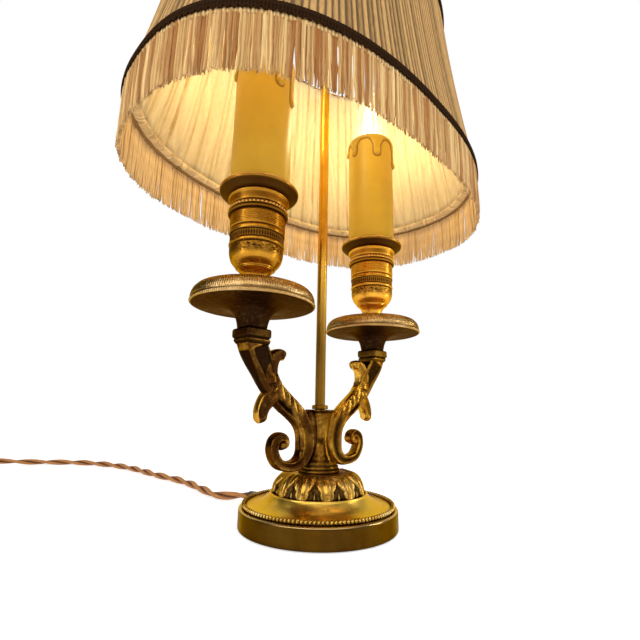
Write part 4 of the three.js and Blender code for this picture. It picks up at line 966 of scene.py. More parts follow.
class LAMP_OT_column(LampMaker, bpy.types.Operator):
    """Make the waisted column, its nut and the rod"""
    bl_idname = "lamp.column"
    bl_label = "Column and rod"

    def execute(self, context):
        foot = even([(11, 34.95), (14.2, 34.95), (14.6, 35.3), (14.6, 36.3), (14.2, 36.8), (13.3, 37.1),
                     (13.5, 37.6), (13.6, 38.4), (13.2, 39.1), (12.4, 39.5), (12.3, 40.4),
                     (12.3, 41.5)], 0.22, 2)
        waist = flow([(12.2, 41.7), (11.2, 43.1), (10.1, 45.0), (8.7, 47.4), (7.4, 50.2), (6.4, 53.2),
                      (5.9, 56.6), (6.0, 61), (6.5, 65.4), (7.1, 68.9), (7.8, 71.6), (9.0, 74.6),
                      (10.0, 75.3)], 0.4)
        lip = even([(10.2, 75.4), (10.6, 75.6), (10.6, 76.3), (10.3, 76.5), (4, 76.5)], 0.2, 1)
        spun("waisted_column", "column", gilt("Column Gilt", 0.55, 0.5, Body=paint("5c3a0e")),
             np.concatenate([foot, waist, lip]), 128, self.relief)
        nut = even([(3.9, 76.8), (5.4, 76.8), (5.7, 77.1), (5.7, 79.2), (5.3, 79.6), (3.7, 79.7)], 0.15, 1)
        spun("rod_foot_nut", "foot_nut", brass("Nut Brass", 0.3, 0.6), nut, 64,
             lambda a, r, z: (0.0, 0.35 + 0 * a * r))
        rod = even([(0, 2.4), (ROD_RADIUS, 2.4), (ROD_RADIUS, 80), (ROD_RADIUS, 467.4),
                    (ROD_RADIUS - 0.5, 468), (0, 468)], 4.0)
        lacquer = brass("Bright Rod", 0.2, 1.0, 0.3, 0.2, Bright=paint("f2c452"), Body=paint("daa636"),
                        Deep=paint("5e3a12"))
        spun("bright_rod", "rod", lacquer, rod, 48, self.rod_relief)
        return {"FINISHED"}

    def rod_relief(self, angle, r, z):
        """Painted shade darkens the rod towards its foot."""
        return 0.0, 0.85 * (1 - smoothstep(z, 115, 200)) + 0 * angle

    def relief(self, angle, r, z):
        """Darker in the grooves and at the foot, with painted shade on the waist's sides towards the arms."""
        grooves = hump(z, 37.1, 0.7) + 0.8 * hump(z, 39.9, 0.8) + hump(z, 34.9, 0.7) + 0.5 * hump(z, 75.2, 0.8)
        darkening = 0.25 * (1 - smoothstep(z, 40, 46))
        sides = 0.35 * np.abs(np.cos(angle)) ** 3 * smoothstep(z, 41, 48) * (1 - smoothstep(z, 70, 76))
        return 0.0, np.clip(grooves * 0.75 + darkening + sides, 0, 1)


# Middle lines of an arm's strap and of its two end leaves, as x, z and half width in millimetres
MAIN_STROKE = [
    (35.4, 53.2, 1.9), (33.4, 54.4, 2.2), (33.6, 57.4, 2.6), (37, 59.2, 3.0), (41.2, 57.2, 3.2),
    (42.8, 52, 3.2), (41.0, 46.8, 3.3), (37.2, 42.6, 3.3), (32.5, 41.0, 3.3), (27.5, 40.5, 3.4),
    (22, 41.4, 4.2), (17.9, 44.1, 5.2), (15.2, 48.4, 6.2), (14.2, 54, 7.0), (14.7, 60, 6.9),
    (17.3, 66.5, 6.7), (21.5, 71.5, 6.6), (27, 76, 6.8), (33.5, 80.5, 7), (39.5, 85, 7), (45, 90, 7),
    (49.5, 96, 7.4), (53.5, 102.5, 7.8), (57.5, 108.5, 8), (61, 114.5, 8), (62.6, 119, 8.2),
]
UPPER_LEAF = [
    (47, 93, 5.4), (48.2, 99, 5.8), (47.6, 105, 5.6), (44.2, 110.2, 4.6), (40.2, 111.8, 3.8),
    (37.6, 111.2, 3.3), (36.0, 110.4, 2.6),
]
LOWER_LEAF = [
    (44.5, 86, 6), (49.4, 81.5, 5.4), (52.4, 76.8, 4.4), (53.2, 72.8, 3.9), (52.8, 69.8, 3.2),
    (52.4, 68.3, 2.4),
]
WEB = [(11.5, 45.5, 2.5), (9.8, 50, 4), (9.3, 57, 4.6), (9.6, 65, 4.6), (10.6, 72, 3.6), (12, 75, 2)]
STEM_LEVEL = 66
LEAF_PITCH = 7.4


class LAMP_OT_arms(LampMaker, bpy.types.Operator):
    """Make the two scrolled arms with their leaves and blocks"""
    bl_idname = "lamp.arms"
    bl_label = "Arms"

    def execute(self, context):
        line = flow(MAIN_STROKE, 0.52)
        s = reach_of(line[:, :2])
        rising = slice(200, None)
        self.stem = float(np.interp(STEM_LEVEL, line[rising, 1], s[rising]))
        depth = 4.6 + 3.0 * smoothstep(line[:, 1], 92, 118) * (s > self.stem)
        square = smoothstep(s, s.max() - 40, s.max() - 30)
        web = stroke(flow(WEB, 0.8), 3.2, 24, 0.6)
        # Painted shade on the web, which sits back between the stem and the column.
        web["tone"] = 0.6
        leaves = [self.end_leaf(UPPER_LEAF, 5.4, 5.0), self.end_leaf(LOWER_LEAF, 5.2, 4.6)]
        still = [web, *leaves, self.eye(), self.block()]
        # The arms are shaded and lit copies of one gilt: painted shade on the left arm, painted light on the
        # right.
        gilding = {"left": gilt("Dark Arm Gilt", 0.45, 0.7, 0.45, Bright=paint("e0a642"), Body=paint("4a2a0c")),
                   "right": gilt("Worn Arm Gilt", 0.85, 0.7, 0.1, Bright=paint("f2bc48"), Body=paint("8e5e1c"))}
        for tag, side in SIDES.items():
            # The right arm's strap takes painted shade, which also dims its worn corners.
            self.darkening = {"left": 0.0, "right": 0.3}[tag]
            main = stroke(line, depth, 72, 0.66 - 0.26 * square, self.main_relief)
            grids = [{**item, "points": item["points"] * (side, side, 1)} for item in (main, *still)]
            surface(f"{tag}_scrolled_arm", grids, gilding[tag], "stand", [f"{tag}_arm"])
            dress(f"{tag}_nipple", plain_steel())
            dress(f"{tag}_wire", moulded("Wire Covering", paint("d0c096"), 0.004, 0.2, 0.7))
        return {"FINISHED"}

    def end_leaf(self, points, start, end):
        """A leaf along the points, whose depth goes from start to end and rounds off at its tip."""
        line = flow(points, 0.4)
        part = np.linspace(0, 1, len(line))
        depth = (start + (end - start) * part) * np.sqrt(1 - smoothstep(part, 0.8, 1.04) ** 2)
        return stroke(line, depth, 48, 0.72, self.leaf_relief)

    def eye(self):
        """Boss of the volute, an ellipsoid with half axes of 3.1, 5.2 and 3.1 mm."""
        a, b = np.linspace(-np.pi / 2, np.pi / 2, 18)[:, None], around(36)[None, :]
        points = np.stack([35.9 + 3.1 * np.cos(a) * np.cos(b), 5.2 * np.sin(a) + 0 * b,
                           53.9 + 3.1 * np.cos(a) * np.sin(b)], -1)
        return grid(points, 0.15)

    def main_relief(self, s, c, d):
        """Channelled strap, a slot under the stem darkened as painted shade, acanthus over it and panels on the
        shaft.
        """
        total = s.max()
        strap = (1 - smoothstep(s, self.stem - 28, self.stem - 14)) * smoothstep(s, 3.0, 8)
        stem = smoothstep(s, self.stem - 28, self.stem - 16) * (1 - smoothstep(s, total - 38, total - 29))
        shaft = smoothstep(s, total - 36, total - 29) * (1 - smoothstep(s, total - 5.5, total - 4))
        face = smoothstep(np.abs(d), 0.6, 0.92)
        edge_face = smoothstep(np.abs(c), 0.8, 0.97)
        channel = hump(c, 0.1, 0.8) ** 0.7 * face * strap
        slot = hump(c, -0.5, 0.26) * face * smoothstep(s, self.stem - 21, self.stem - 8)
        slot = slot * (1 - smoothstep(s, total - 46, total - 38))
        leafy = smoothstep(c, -0.36 + 0.1 * np.cos(TURN * s / LEAF_PITCH), -0.2) * stem
        flute = np.cos(TURN * 1.25 * (c - 0.12))
        swept = TURN * (s - 8.5 * c) / LEAF_PITCH + 0.8 * np.sin(s / 3.1)
        lobes = 0.8 * np.cos(swept) + 0.35 * np.cos(2 * swept + 0.9)
        crumbs = np.cos(3 * swept + 2 * c) * (0.6 + 0.4 * np.sin(s / 1.9))
        rim = smoothstep(c, -0.3 + 0.12 * np.cos(swept), 0.1)
        narrow = 0.5 + 0.22 * smoothstep(s, total - 30, total - 8)
        panel = smoothstep(narrow - np.abs(c - 0.05), 0, 0.14) * face * shaft
        panel_out = smoothstep(narrow - np.abs(d), 0, 0.14) * edge_face * shaft
        beside = smoothstep(np.abs(d), 0.7, 0.86)
        ridge = leafy * (0.6 * flute * (1 - rim) + rim * beside * (0.75 * lobes + 0.16 * crumbs))
        outward = np.sign(d) * face * (ridge - 1.4 * channel - 3.0 * slot - 1.3 * panel)
        serrated = leafy * smoothstep(c, 0.8, 1) * (0.6 * lobes + 0.25 * crumbs) * beside
        across = serrated - np.sign(c) * edge_face * 1.2 * panel_out
        tone = 0.7 * channel + 1.4 * slot + 0.6 * panel + 0.6 * panel_out
        hollows = 0.75 * smoothstep(-flute, 0.0, 1.0) * (1 - rim) + 0.25 * rim * smoothstep(-crumbs, 0, 0.8)
        tone = tone + leafy * beside * (hollows + 0.8 * rim * smoothstep(-lobes, 0.0, 0.9))
        # Painted shade along the stem's lower side
        under = (1 - smoothstep(c, -0.9, -0.2)) * stem * 0.4
        corner = hump(np.abs(c), 0.93, 0.12) * hump(np.abs(d), 0.9, 0.25)
        corner = corner * (strap * (1 - self.darkening) + 0.5 * shaft)
        # Worn bright corners and lobe tops, with a painted highlight along the stem's upper side
        tops = leafy * (0.6 * smoothstep(flute, 0.5, 1) * (1 - rim) + rim * smoothstep(lobes, 0.1, 0.9))
        tops = tops + stem * smoothstep(c, 0.6, 0.9) * (1 - beside)
        worn = 0.8 * np.clip(corner + tops, 0, 1) * (1 - np.clip(2 * tone, 0, 1))
        # The shaft is darkened all over as painted shade.
        return across + 0 * s, outward, np.clip(tone + under + 0.5 * shaft + self.darkening * strap, 0, 1) - worn

    def leaf_relief(self, s, c, d):
        """One groove along the leaf, which stops before its tip, and a worn rim."""
        face = smoothstep(np.abs(d), 0.3, 0.95)
        fresh = 1 - smoothstep(s, s.max() - 6, s.max() - 2)
        groove = hump(c, 0.15, 0.95) ** 0.6 * face * fresh * smoothstep(s, 3, 8)
        rim = hump(np.abs(c), 0.95, 0.2) * (1 - groove)
        return 0 * s + 0 * c, -1.1 * np.sign(d) * groove, 0.6 * groove + 0.1 - 0.6 * rim

    def block(self):
        """Rounded squares of half size h: each coordinate is h |cos a|^0.2 or h |sin a|^0.2 with its sign."""
        rows = even([(0.2, 115.6, 61.6), (7.4, 115.6, 61.6), (8.2, 116.6, 61.9), (8.7, 117.6, 62.2),
                     (8.9, 118.6, 62.5), (8.5, 118.9, 62.6), (8.3, 119.6, 62.7), (9.2, 120.2, 62.8),
                     (9.35, 121.0, 62.8), (9.35, 124.6, 62.8), (8.8, 125.55, 62.8),
                     (0.2, 125.6, 62.8)], 0.3, 2)
        angle = around(72)[None, :]
        c, d = bent(np.cos(angle), 0.2), bent(np.sin(angle), 0.2)
        h, z, x = rows[:, :1], rows[:, 1:2], rows[:, 2:]
        # The tone darkens the block, most in its groove, and paints highlights on its top edge and its ridge.
        tone = 0.7 * hump(z, 119.3, 0.9) + 0.7 - 0.9 * hump(z, 125.2, 0.7) - 0.6 * hump(z, 118.4, 0.6)
        points = np.stack([x + h * c, h * d + 0 * x, z + 0 * angle], -1)
        return grid(points, tone + 0 * angle)


class LAMP_OT_dishes(LampMaker, bpy.types.Operator):
    """Make the two drip dishes"""
    bl_idname = "lamp.dishes"
    bl_label = "Drip dishes"

    def execute(self, context):
        self.reeds = context.scene.lamp_details.reeds
        profile = np.concatenate([
            even([(4.4, 125.95), (9.2, 125.95)], 0.5),
            flow([(9.4, 126), (9.7, 128), (10.4, 131), (12, 134.5), (15.5, 137.4), (21, 139), (30, 139.6),
                  (37.6, 139.9)], 1.1),
            even([(38.2, 139.9), (39.3, 140.3), (39.7, 141.2), (39.3, 142.0), (39.0, 142.4), (39.3, 143.4),
                  (38.9, 145.4), (37.8, 148.0), (35.8, 150.2), (33.4, 151.2), (31.2, 151.1), (29.8, 150.4),
                  (28, 149.3)], 0.36, 2),
            flow([(27.6, 149.1), (24, 148.2), (20, 147.6), (12, 147.3), (4.4, 147.3)], 2.4),
        ])
        gilding = gilt("Dish Gilt", 0.9, 1.6, 0.0, Bright=paint("d8b47c"), Body=paint("a8844e"),
                       Deep=paint("2a170a"))
        for tag, side in SIDES.items():
            spun(f"{tag}_reeded_dish", f"{tag}_drip_dish", gilding, profile, self.reeds * 4,
                 self.relief, (side * ARM_REACH, 0))
        return {"FINISHED"}

    def relief(self, angle, r, z):
        """Reeds over the rim and a row of small beads below it, dark in the grooves, with painted shade
        underneath.
        """
        wave = np.cos(self.reeds * angle)
        reeded = smoothstep(z, 142.6, 144.2) * smoothstep(r, 29.5, 31.5)
        beads = hump(z, 141.1, 1.2) * smoothstep(r, 38.2, 39.0)
        rise = 0.12 * wave * reeded + 0.22 * wave * beads
        grooves = 0.9 * hump(z, 142.4, 0.7) * smoothstep(r, 38, 38.8)
        grooves = grooves + 0.6 * hump(z, 139.9, 0.6) * hump(r, 37.6, 1.6)
        under = 1.0 - smoothstep(z, 139.9, 140.3)
        tone = grooves + under + 0.35 * smoothstep(-wave, 0, 1) * (reeded + beads)
        return rise, np.clip(tone, 0, 1)


class LAMP_OT_cups(LampMaker, bpy.types.Operator):
    """Make the two candle cups and their drip plates"""
    bl_idname = "lamp.cups"
    bl_label = "Candle cups"

    def execute(self, context):
        self.pearls = context.scene.lamp_details.pearls
        low = flow([(9.5, 147.85), (10.2, 149.5), (8.9, 153), (8.2, 157.4), (8.9, 160.5), (10.6, 163),
                    (12.4, 164.6)], 0.8)
        bowl = flow([(13.4, 165.9), (16.2, 169.6), (17.5, 174), (17.7, 178.2)], 0.7)
        upper = even([(17.7, 178.4), (17.1, 179.0), (17.3, 179.5), (18.2, 179.8), (18.2, 181.3),
                      (17.5, 181.8), (17.6, 186.9), (18.2, 187.4), (18.3, 188.6), (18.2, 189.9),
                      (17.4, 190.4), (17.5, 191.0), (18.2, 191.5), (18.2, 200.4), (17.8, 200.8),
                      (19.6, 201.3), (20.2, 202.2), (19.6, 203.1), (18.2, 203.5), (19.2, 203.9),
                      (19.7, 205.0), (19.2, 206.1), (18.4, 206.8), (18.9, 207.4), (19.4, 211.4),
                      (19.6, 212.1), (20.4, 212.5), (20.5, 213.4), (20.1, 213.9)], 0.36, 1)
        collar = even([(12.4, 164.6), (12.9, 164.9), (12.9, 165.5), (13.3, 165.8)], 0.2)
        profile = np.concatenate([[(4.4, 147.85)], low, collar, bowl, upper, [(16.9, 213.9), (16.9, 190)]])
        plate = even([(16.9, 214.2), (20.4, 214.2), (22, 214.8), (24, 216.4), (25.5, 217.3), (26.4, 218.3),
                      (26.6, 219.4), (26.1, 220.4), (25.2, 220.3), (23.6, 219.2), (20.6, 218.8),
                      (16.9, 218.8), (16.9, 214.2)], 0.3, 2)
        # The right cup is a lit copy of the left one: painted light.
        lacquers = {"left": brass("Cup Brass", 0.5, 0.85, 0.1, 0.22, Deep=paint("2e1509")),
                    "right": brass("Rubbed Cup Brass", 0.5, 0.85, 0.05, 0.24, Deep=paint("3c1c0a"),
                                   Bright=paint("f0b244"), Body=paint("d8962a"))}
        plate_lacquer = brass("Plate Brass", 0.4, 0.8, 0.0, 0.2, Deep=paint("2e1509"))
        for tag, side in SIDES.items():
            place = (side * ARM_REACH, 0)
            spun(f"{tag}_chased_cup", f"{tag}_candle_cup", lacquers[tag], profile,
                 self.pearls * 8, self.relief, place)
            spun(f"{tag}_wax_plate", f"{tag}_drip_plate", plate_lacquer, plate, 128,
                 self.plate_relief, place)
        return {"FINISHED"}

    def relief(self, angle, r, z):
        """A knurled band, ribs and a row of pearls, darker in the grooves and in random specks on the bowl."""
        knurl_level, pearl_level, rib_foot, rib_pitch = 184.4, 205.0, 191.6, 1.3
        knurl = np.cos(self.pearls * angle * 4 / 3)
        ribs = np.cos(TURN * (z - rib_foot) / rib_pitch) + 0 * angle
        pearl = np.abs(np.cos(self.pearls * angle / 2)) ** 0.6
        from_knurl = np.abs(z - knurl_level)
        knurled = hump(z, knurl_level, 3.0) ** 0.3
        ribbed = smoothstep(z, 191.4, 192.0) * (1 - smoothstep(z, 199.9, 200.5))
        pearled = hump(z, pearl_level, 1.35)
        outside = smoothstep(r, 16.95, 17.05)
        rise = outside * (0.22 * knurl * knurled * (from_knurl < 3) + 0.1 * ribs * ribbed
                          + (1.15 * pearl - 0.85) * pearled)
        levels = (179.0, 181.9, 187.1, 190.7, 200.8, 203.6, 206.7, 164.7, 165.8)
        grooves = sum(hump(z, level, 0.8) for level in levels)
        tone = grooves + knurled * (from_knurl < 2.9) * (0.85 - 0.2 * knurl)
        tone = tone - 0.3 * pearled * smoothstep(pearl, 0.6, 1)
        tone = tone + 0.3 * ribbed * smoothstep(-ribs, 0, 1) + 0.9 * pearled * smoothstep(0.7 - pearl, 0, 0.6)
        speckle = np.random.default_rng(4).random((len(z), angle.shape[1]))
        for _ in range(4):
            speckle = (np.roll(speckle, 1, 1) + speckle + np.roll(speckle, -1, 1)) / 3
        # Painted shade on the ring above the ribs and on the upper neck
        tone = tone + 0.7 * hump(z, 202.2, 1.6) + 0.4 * hump(z, 210, 2.9) ** 0.5
        tone = tone + (2.4 * speckle - 0.6) * hump(z, 175.8, 4.6) ** 0.5
        return rise, np.clip(tone * outside, -0.6, 1) * (z > 160) + 0.0

    def plate_relief(self, angle, r, z):
        """Painted shade underneath, with a worn lip."""
        lip = hump(z, 219.8, 1.6) * smoothstep(r, 24.6, 26.0)
        return 0.0, 0.9 * (1 - smoothstep(z, 217.6, 218.8)) * (r > 17) - 0.7 * lip + 0 * angle


# Wax edge of each sleeve: direction in degrees, drop in millimetres, half width in degrees
DRIPS = {
    "right": [(131, 12, 12), (173, 18, 12), (234, 22, 14), (297, 27, 14), (12, 17, 15), (56, 26, 14),
              (98, 13, 11)],
    "left": [(150, 17, 14), (200, 13, 13), (263, 29, 13), (301, 37, 13), (345, 15, 12), (35, 27, 14),
             (92, 19, 15)],
}


class LAMP_OT_sleeves(LampMaker, bpy.types.Operator):
    """Make the candle sleeves with their wax drips"""
    bl_idname = "lamp.sleeves"
    bl_label = "Candle sleeves"

    def execute(self, context):
        c = context.scene.lamp_finishes
        # Its shade colour paints the shadow along the wax's edges and faint clouds.
        ochre = ready("Sleeve Ochre", lambda label: finish(label, "Soft Mottle", {
            "Colour": c.sleeve, "Shade": paint("84430c"), "Size": 0.012, "Depth": 0.12,
            "Roughness": 0.4, "Cloud": 0.1}, Specular_IOR_Level=0.3)[0])
        z = np.concatenate([np.linspace(SLEEVE_BASE, 276, 24), np.arange(276.4, SLEEVE_TOP - 0.5, 0.4)])
        outer = np.stack([0 * z + SLEEVE_RADIUS, z], 1)
        lip = even([(SLEEVE_RADIUS, SLEEVE_TOP - 0.5), (19.9, SLEEVE_TOP), (18.6, SLEEVE_TOP),
                    (SLEEVE_BORE, SLEEVE_TOP - 0.5)], 0.5, 1)
        profile = np.concatenate([outer, lip, [(SLEEVE_BORE, 290), (SLEEVE_BORE, 268)]])
        for tag, side in SIDES.items():
            self.drips = DRIPS[tag]
            spun(f"{tag}_dripped_sleeve", f"{tag}_candle_sleeve", ochre, profile, 288,
                 self.wax, (side * ARM_REACH, 0))
            dress(f"{tag}_lampholder", white_glaze(), 0.4)
        return {"FINISHED"}

    def wax(self, angle, r, z):
        """Wax inside rounded tongues of half width w, joined by arches: w - |point - middle line| > 0."""
        degrees = np.degrees(angle)
        down = SLEEVE_TOP - z
        edge = 3.8
        arch = edge + 0.4 * np.sin(np.radians(degrees * 5))
        inside, bead = np.full(np.broadcast(degrees, z).shape, -9.0), 0.0
        for direction, depth, half in self.drips:
            apart = np.abs((degrees - direction + 540) % 360 - 180)
            beside, w = np.radians(apart) * SLEEVE_RADIUS, 0.24 * half
            tongue = w - np.hypot(beside, np.maximum(down - depth + w, 0))
            inside = np.maximum(inside, tongue)
            bead = np.maximum(bead, hump(down, depth - w, 1.2 * w) * smoothstep(tongue, 0, 1.2))
            arch = np.maximum(arch, edge + (depth - edge) * 0.7 * hump(apart, 0, half * 2.1) ** 2)
        slope = np.gradient(arch, axis=1) / (SLEEVE_RADIUS * (angle[0, 1] - angle[0, 0]))
        away = np.maximum(inside, (arch - down) / np.sqrt(1 + slope ** 2))
        outside = (r > 19.5) * 1.0
        body = smoothstep(away, 0, 0.9)
        rise = outside * body * (1.1 + 1.0 * bead) * (1 - 0.6 * smoothstep(z, SLEEVE_TOP - 3, SLEEVE_TOP))
        # A painted shadow darkens a line along the wax's edge.
        return rise, np.clip(0.9 * hump(away, -0.2, 1.0) * outside + 0.08 * body * outside, 0, 1)


class LAMP_OT_bulbs(LampMaker, bpy.types.Operator):
    """Make the clear flame bulbs with their filaments"""
    bl_idname = "lamp.bulbs"
    bl_label = "Bulbs"

    def execute(self, context):
        outline = flow([(12.7, 302.5), (15.3, 311.8), (17.0, 321.0), (17.3, 331), (16.2, 343), (13.4, 356),
                        (9.4, 369), (5.4, 381), (2.6, 390), (1.3, 395), (0.02, 397.2)], 1.5)
        inside = outline.copy()
        inside[:, 0] = np.maximum(inside[:, 0] - 0.7, 0.01)
        inside[:, 1] = np.minimum(inside[:, 1], 394)
        profile = np.concatenate([inside[::-1], outline])
        stem = even([(0.05, 302.6), (4.2, 302.6), (3.4, 310), (1.6, 322), (1.0, 326), (1.2, 371),
                     (0.05, 372)], 1.0, 1)
        glass = ready("Clear Glass", self.glass)
        hot = ready("Hot Filament", self.filament)
        for tag, side in SIDES.items():
            place = (side * ARM_REACH, 0)
            bulb = spun(f"{tag}_flame_glass", f"{tag}_bulb_glass", glass, profile, 72,
                        centre=place)
            coils = [self.coil(place[0], k * np.pi / 2 + 0.4) for k in range(4)]
            filament = surface(f"{tag}_filament", coils, hot, "stand")
            rest = surface(f"{tag}_glass_stem", [turned(stem, 24, None, place)], glass, "stand")
            for piece in (bulb, filament, rest):
                piece.visible_shadow = False
            dress(f"{tag}_bulb_cap", brass("Rod Brass", 0.2, 1.0), 0.3)
        return {"FINISHED"}

    def coil(self, middle, turn):
        """One bowed leg of the filament, wound in a fine helix, from 326 to 370 mm high."""
        t = np.linspace(0, 1, 60)
        bow = 5.2 * np.sin(np.pi * t) ** 0.8 + 0.8
        x = middle + bow * np.cos(turn) + 0.35 * np.cos(t * 150)
        y = bow * np.sin(turn) + 0.35 * np.sin(t * 150)
        return tube(np.stack([x, y, 326 + 44 * t], 1), 0.38, 6, (np.cos(turn + 1.5), np.sin(turn + 1.5), 0))

    def glass(self, label):
        """Clear glass with a faint light of its own."""
        return finish(label, "Soft Mottle", {
            "Colour": (1, 0.985, 0.95), "Shade": (1, 0.96, 0.88), "Size": 0.03, "Depth": 0.0,
            "Roughness": 0.02}, outputs=("Colour",), Roughness=0.0, IOR=1.45, Transmission_Weight=1.0,
            Emission_Color=bulb_colour(), Emission_Strength=0.12)[0]

    def filament(self, label):
        """Wire that glows warm."""
        return finish(label, "Soft Mottle", {
            "Colour": (1, 0.8, 0.5), "Shade": (1, 0.7, 0.4), "Size": 0.01, "Depth": 0.0, "Roughness": 0.5},
            Emission_Color=(1, 0.86, 0.6), Emission_Strength=14.0)[0]


class LAMP_OT_shade(LampMaker, bpy.types.Operator):
    """Make the pleated cover, the gathered lining and its hem"""
    bl_idname = "lamp.shade"
    bl_label = "Pleated shade"

    def execute(self, context):
        c, d = context.scene.lamp_finishes, context.scene.lamp_details
        self.cover_pleats, self.lining_pleats = d.cover_pleats, d.lining_pleats
        outside = np.stack([np.zeros(22), np.linspace(SHADE_RIM, SHADE_TOP, 22)], 1)
        back = np.stack([np.full(6, -1.2), np.linspace(SHADE_TOP, SHADE_RIM, 6)], 1)
        cover_silk = cloth("Cover Silk", c.cover, darker(c.cover, 0.24), 1900.0, 1500.0, 0.25, 0.75,
                           Specular_IOR_Level=0.2)
        band = shade_band(np.concatenate([outside, back]), self.cover_pleats * 10, self.cover_relief)
        cover = surface("pleated_cover", [band], cover_silk, "shade", ["shade_cover"])
        _, _, rim = round_the_rim(360)
        face = np.stack([np.full(26, -6.6), np.linspace(LINING_LOW, LINING_HIGH, 26)], 1)
        behind = np.stack([np.full(6, -5.7), np.linspace(LINING_HIGH, LINING_LOW, 6)], 1)
        # The lining glows in the bulbs' colour as painted light.
        silk = cloth("Lining Silk", c.lining, paint("ac8a54"), 1700.0, 1300.0, 0.25, Specular_IOR_Level=0.2,
                     Emission_Color=bulb_colour(), Emission_Strength=0.08)
        band = shade_band(np.concatenate([face, behind]), self.lining_pleats * 14, self.lining_relief)
        lining = surface("gathered_lining", [band], silk, "shade", ["shade_lining"])
        turn = around(12)
        roll = np.stack([-5.6 + 2.9 * np.cos(turn), 270.4 + 2.3 * np.sin(turn)], 1)
        # The hem glows as painted light.
        ruched = cloth("Hem Silk", paint("f4d69a"), paint("9c7238"), 1700.0, 1300.0, 0.4,
                       Emission_Color=paint("f4d69a"), Emission_Strength=0.22)
        band = shade_band(roll, 2100, self.hem_relief)
        hem = surface("gathered_hem", [band], ruched, "shade", ())
        wire = brass("Rod Brass", 0.2, 1.0)
        dress("shade_frame", wire)
        dress("shade_spider", wire)
        return {"FINISHED"}

    def pleated(self, u, count, seed, spread=0.22):
        """Place within a pleat, from 0 to 1, with pleats of uneven width."""
        rng = np.random.default_rng(seed)
        edges = np.arange(count + 1) + np.concatenate([[0], rng.uniform(-spread, spread, count - 1), [0]])
        x = u * count
        k = np.clip(np.searchsorted(edges, x[0], side="right") - 1, 0, count - 1)
        part = (x[0] - edges[k]) / (edges[k + 1] - edges[k])
        return part[None], rng.uniform(0.6, 1.4, count)[k][None]

    def cover_relief(self, u, v, z):
        """Narrow rounded pleats on the 22 front rows, which lie flatter near both edges."""
        part, size = self.pleated(u, self.cover_pleats, 3)
        fold = np.abs(np.sin(np.pi * part)) ** 0.75
        front = (v < 21.5 / 27) * 1.0
        free = smoothstep(z, 269, 279) * (1 - smoothstep(z, 421, 431)) * 0.8 + 0.2
        rise = front * size * 1.3 * (fold - 0.66) * free
        edge = np.exp(-(part / 0.17) ** 2) + np.exp(-((part - 1) / 0.17) ** 2)
        # The tone paints shade at each pleat's edges and in its hollow, and darkens pleats at random by their
        # width.
        return rise, np.clip(0.8 * edge + 0.9 * (size - 0.85) + 0.35 * (1 - fold), 0, 0.95) * front

    def lining_relief(self, u, v, z):
        """Pleats of very uneven width laid over each other, with creases that wander as they rise."""
        drift = 0.0016 * np.sin(TURN * (9 * u + z / 260)) + 0.0011 * np.sin(TURN * (23 * u - z / 170))
        part, size = self.pleated(u, self.lining_pleats, 5, 0.42)
        lap = part ** 3 * 1.5 + 0.4 * np.sin(np.pi * part)
        second, weight = self.pleated(u, 41, 8, 0.4)
        crease = np.exp(-((part - 1) / 0.1) ** 2) + np.exp(-(part / 0.08) ** 2)
        slack = np.sin(TURN * (60 * (u + drift * 6) + 0.6 * np.sin(TURN * 7 * u)))
        ripple = np.sin(TURN * (self.lining_pleats * 2.5 * u + 3 * np.sin(TURN * 13 * u)))
        ripple = ripple * (1 - smoothstep(z, 274, 300))
        front = (v < 25.5 / 31) * 1.0
        waves = 0.5 * slack + 0.35 * np.sin(TURN * second) * weight + 0.3 * ripple
        rise = -front * (size * (lap - 0.5) + waves)
        # The tone paints shade along the creases and in the slack of the folds.
        tone = np.clip(0.85 * crease * size * (0.6 + 0.4 * slack) + 0.12 * (1 - slack) + 0.12 * ripple, 0, 1)
        return rise, tone * front

    def hem_relief(self, u, v, z):
        """Ruched roll: ridges that lean across it, uneven in width and height."""
        lean = TURN * (230 * u + 3 * np.sin(TURN * 17 * u) + 2 * np.sin(TURN * 41 * u)) + 2.4 * np.pi * v
        wave = np.sin(lean) * (0.7 + 0.3 * np.sin(TURN * 57 * u))
        sway = np.sin(TURN * 29 * u + 2 * np.sin(TURN * 11 * u))
        # The tone paints shade between the ridges.
        return 0.6 * wave + 0.4 * sway, np.clip(0.32 - 0.45 * wave - 0.15 * sway, 0, 1), 0.4 * sway


# Braid and fringe: sizes in millimetres, and the plaits round the rim
BRAID_HEIGHT = 7.7
BRAID_REPEATS = 224
FRINGE_TOP = 267.2
FRINGE_LENGTH = 34.8
THREAD_RADIUS = 0.68


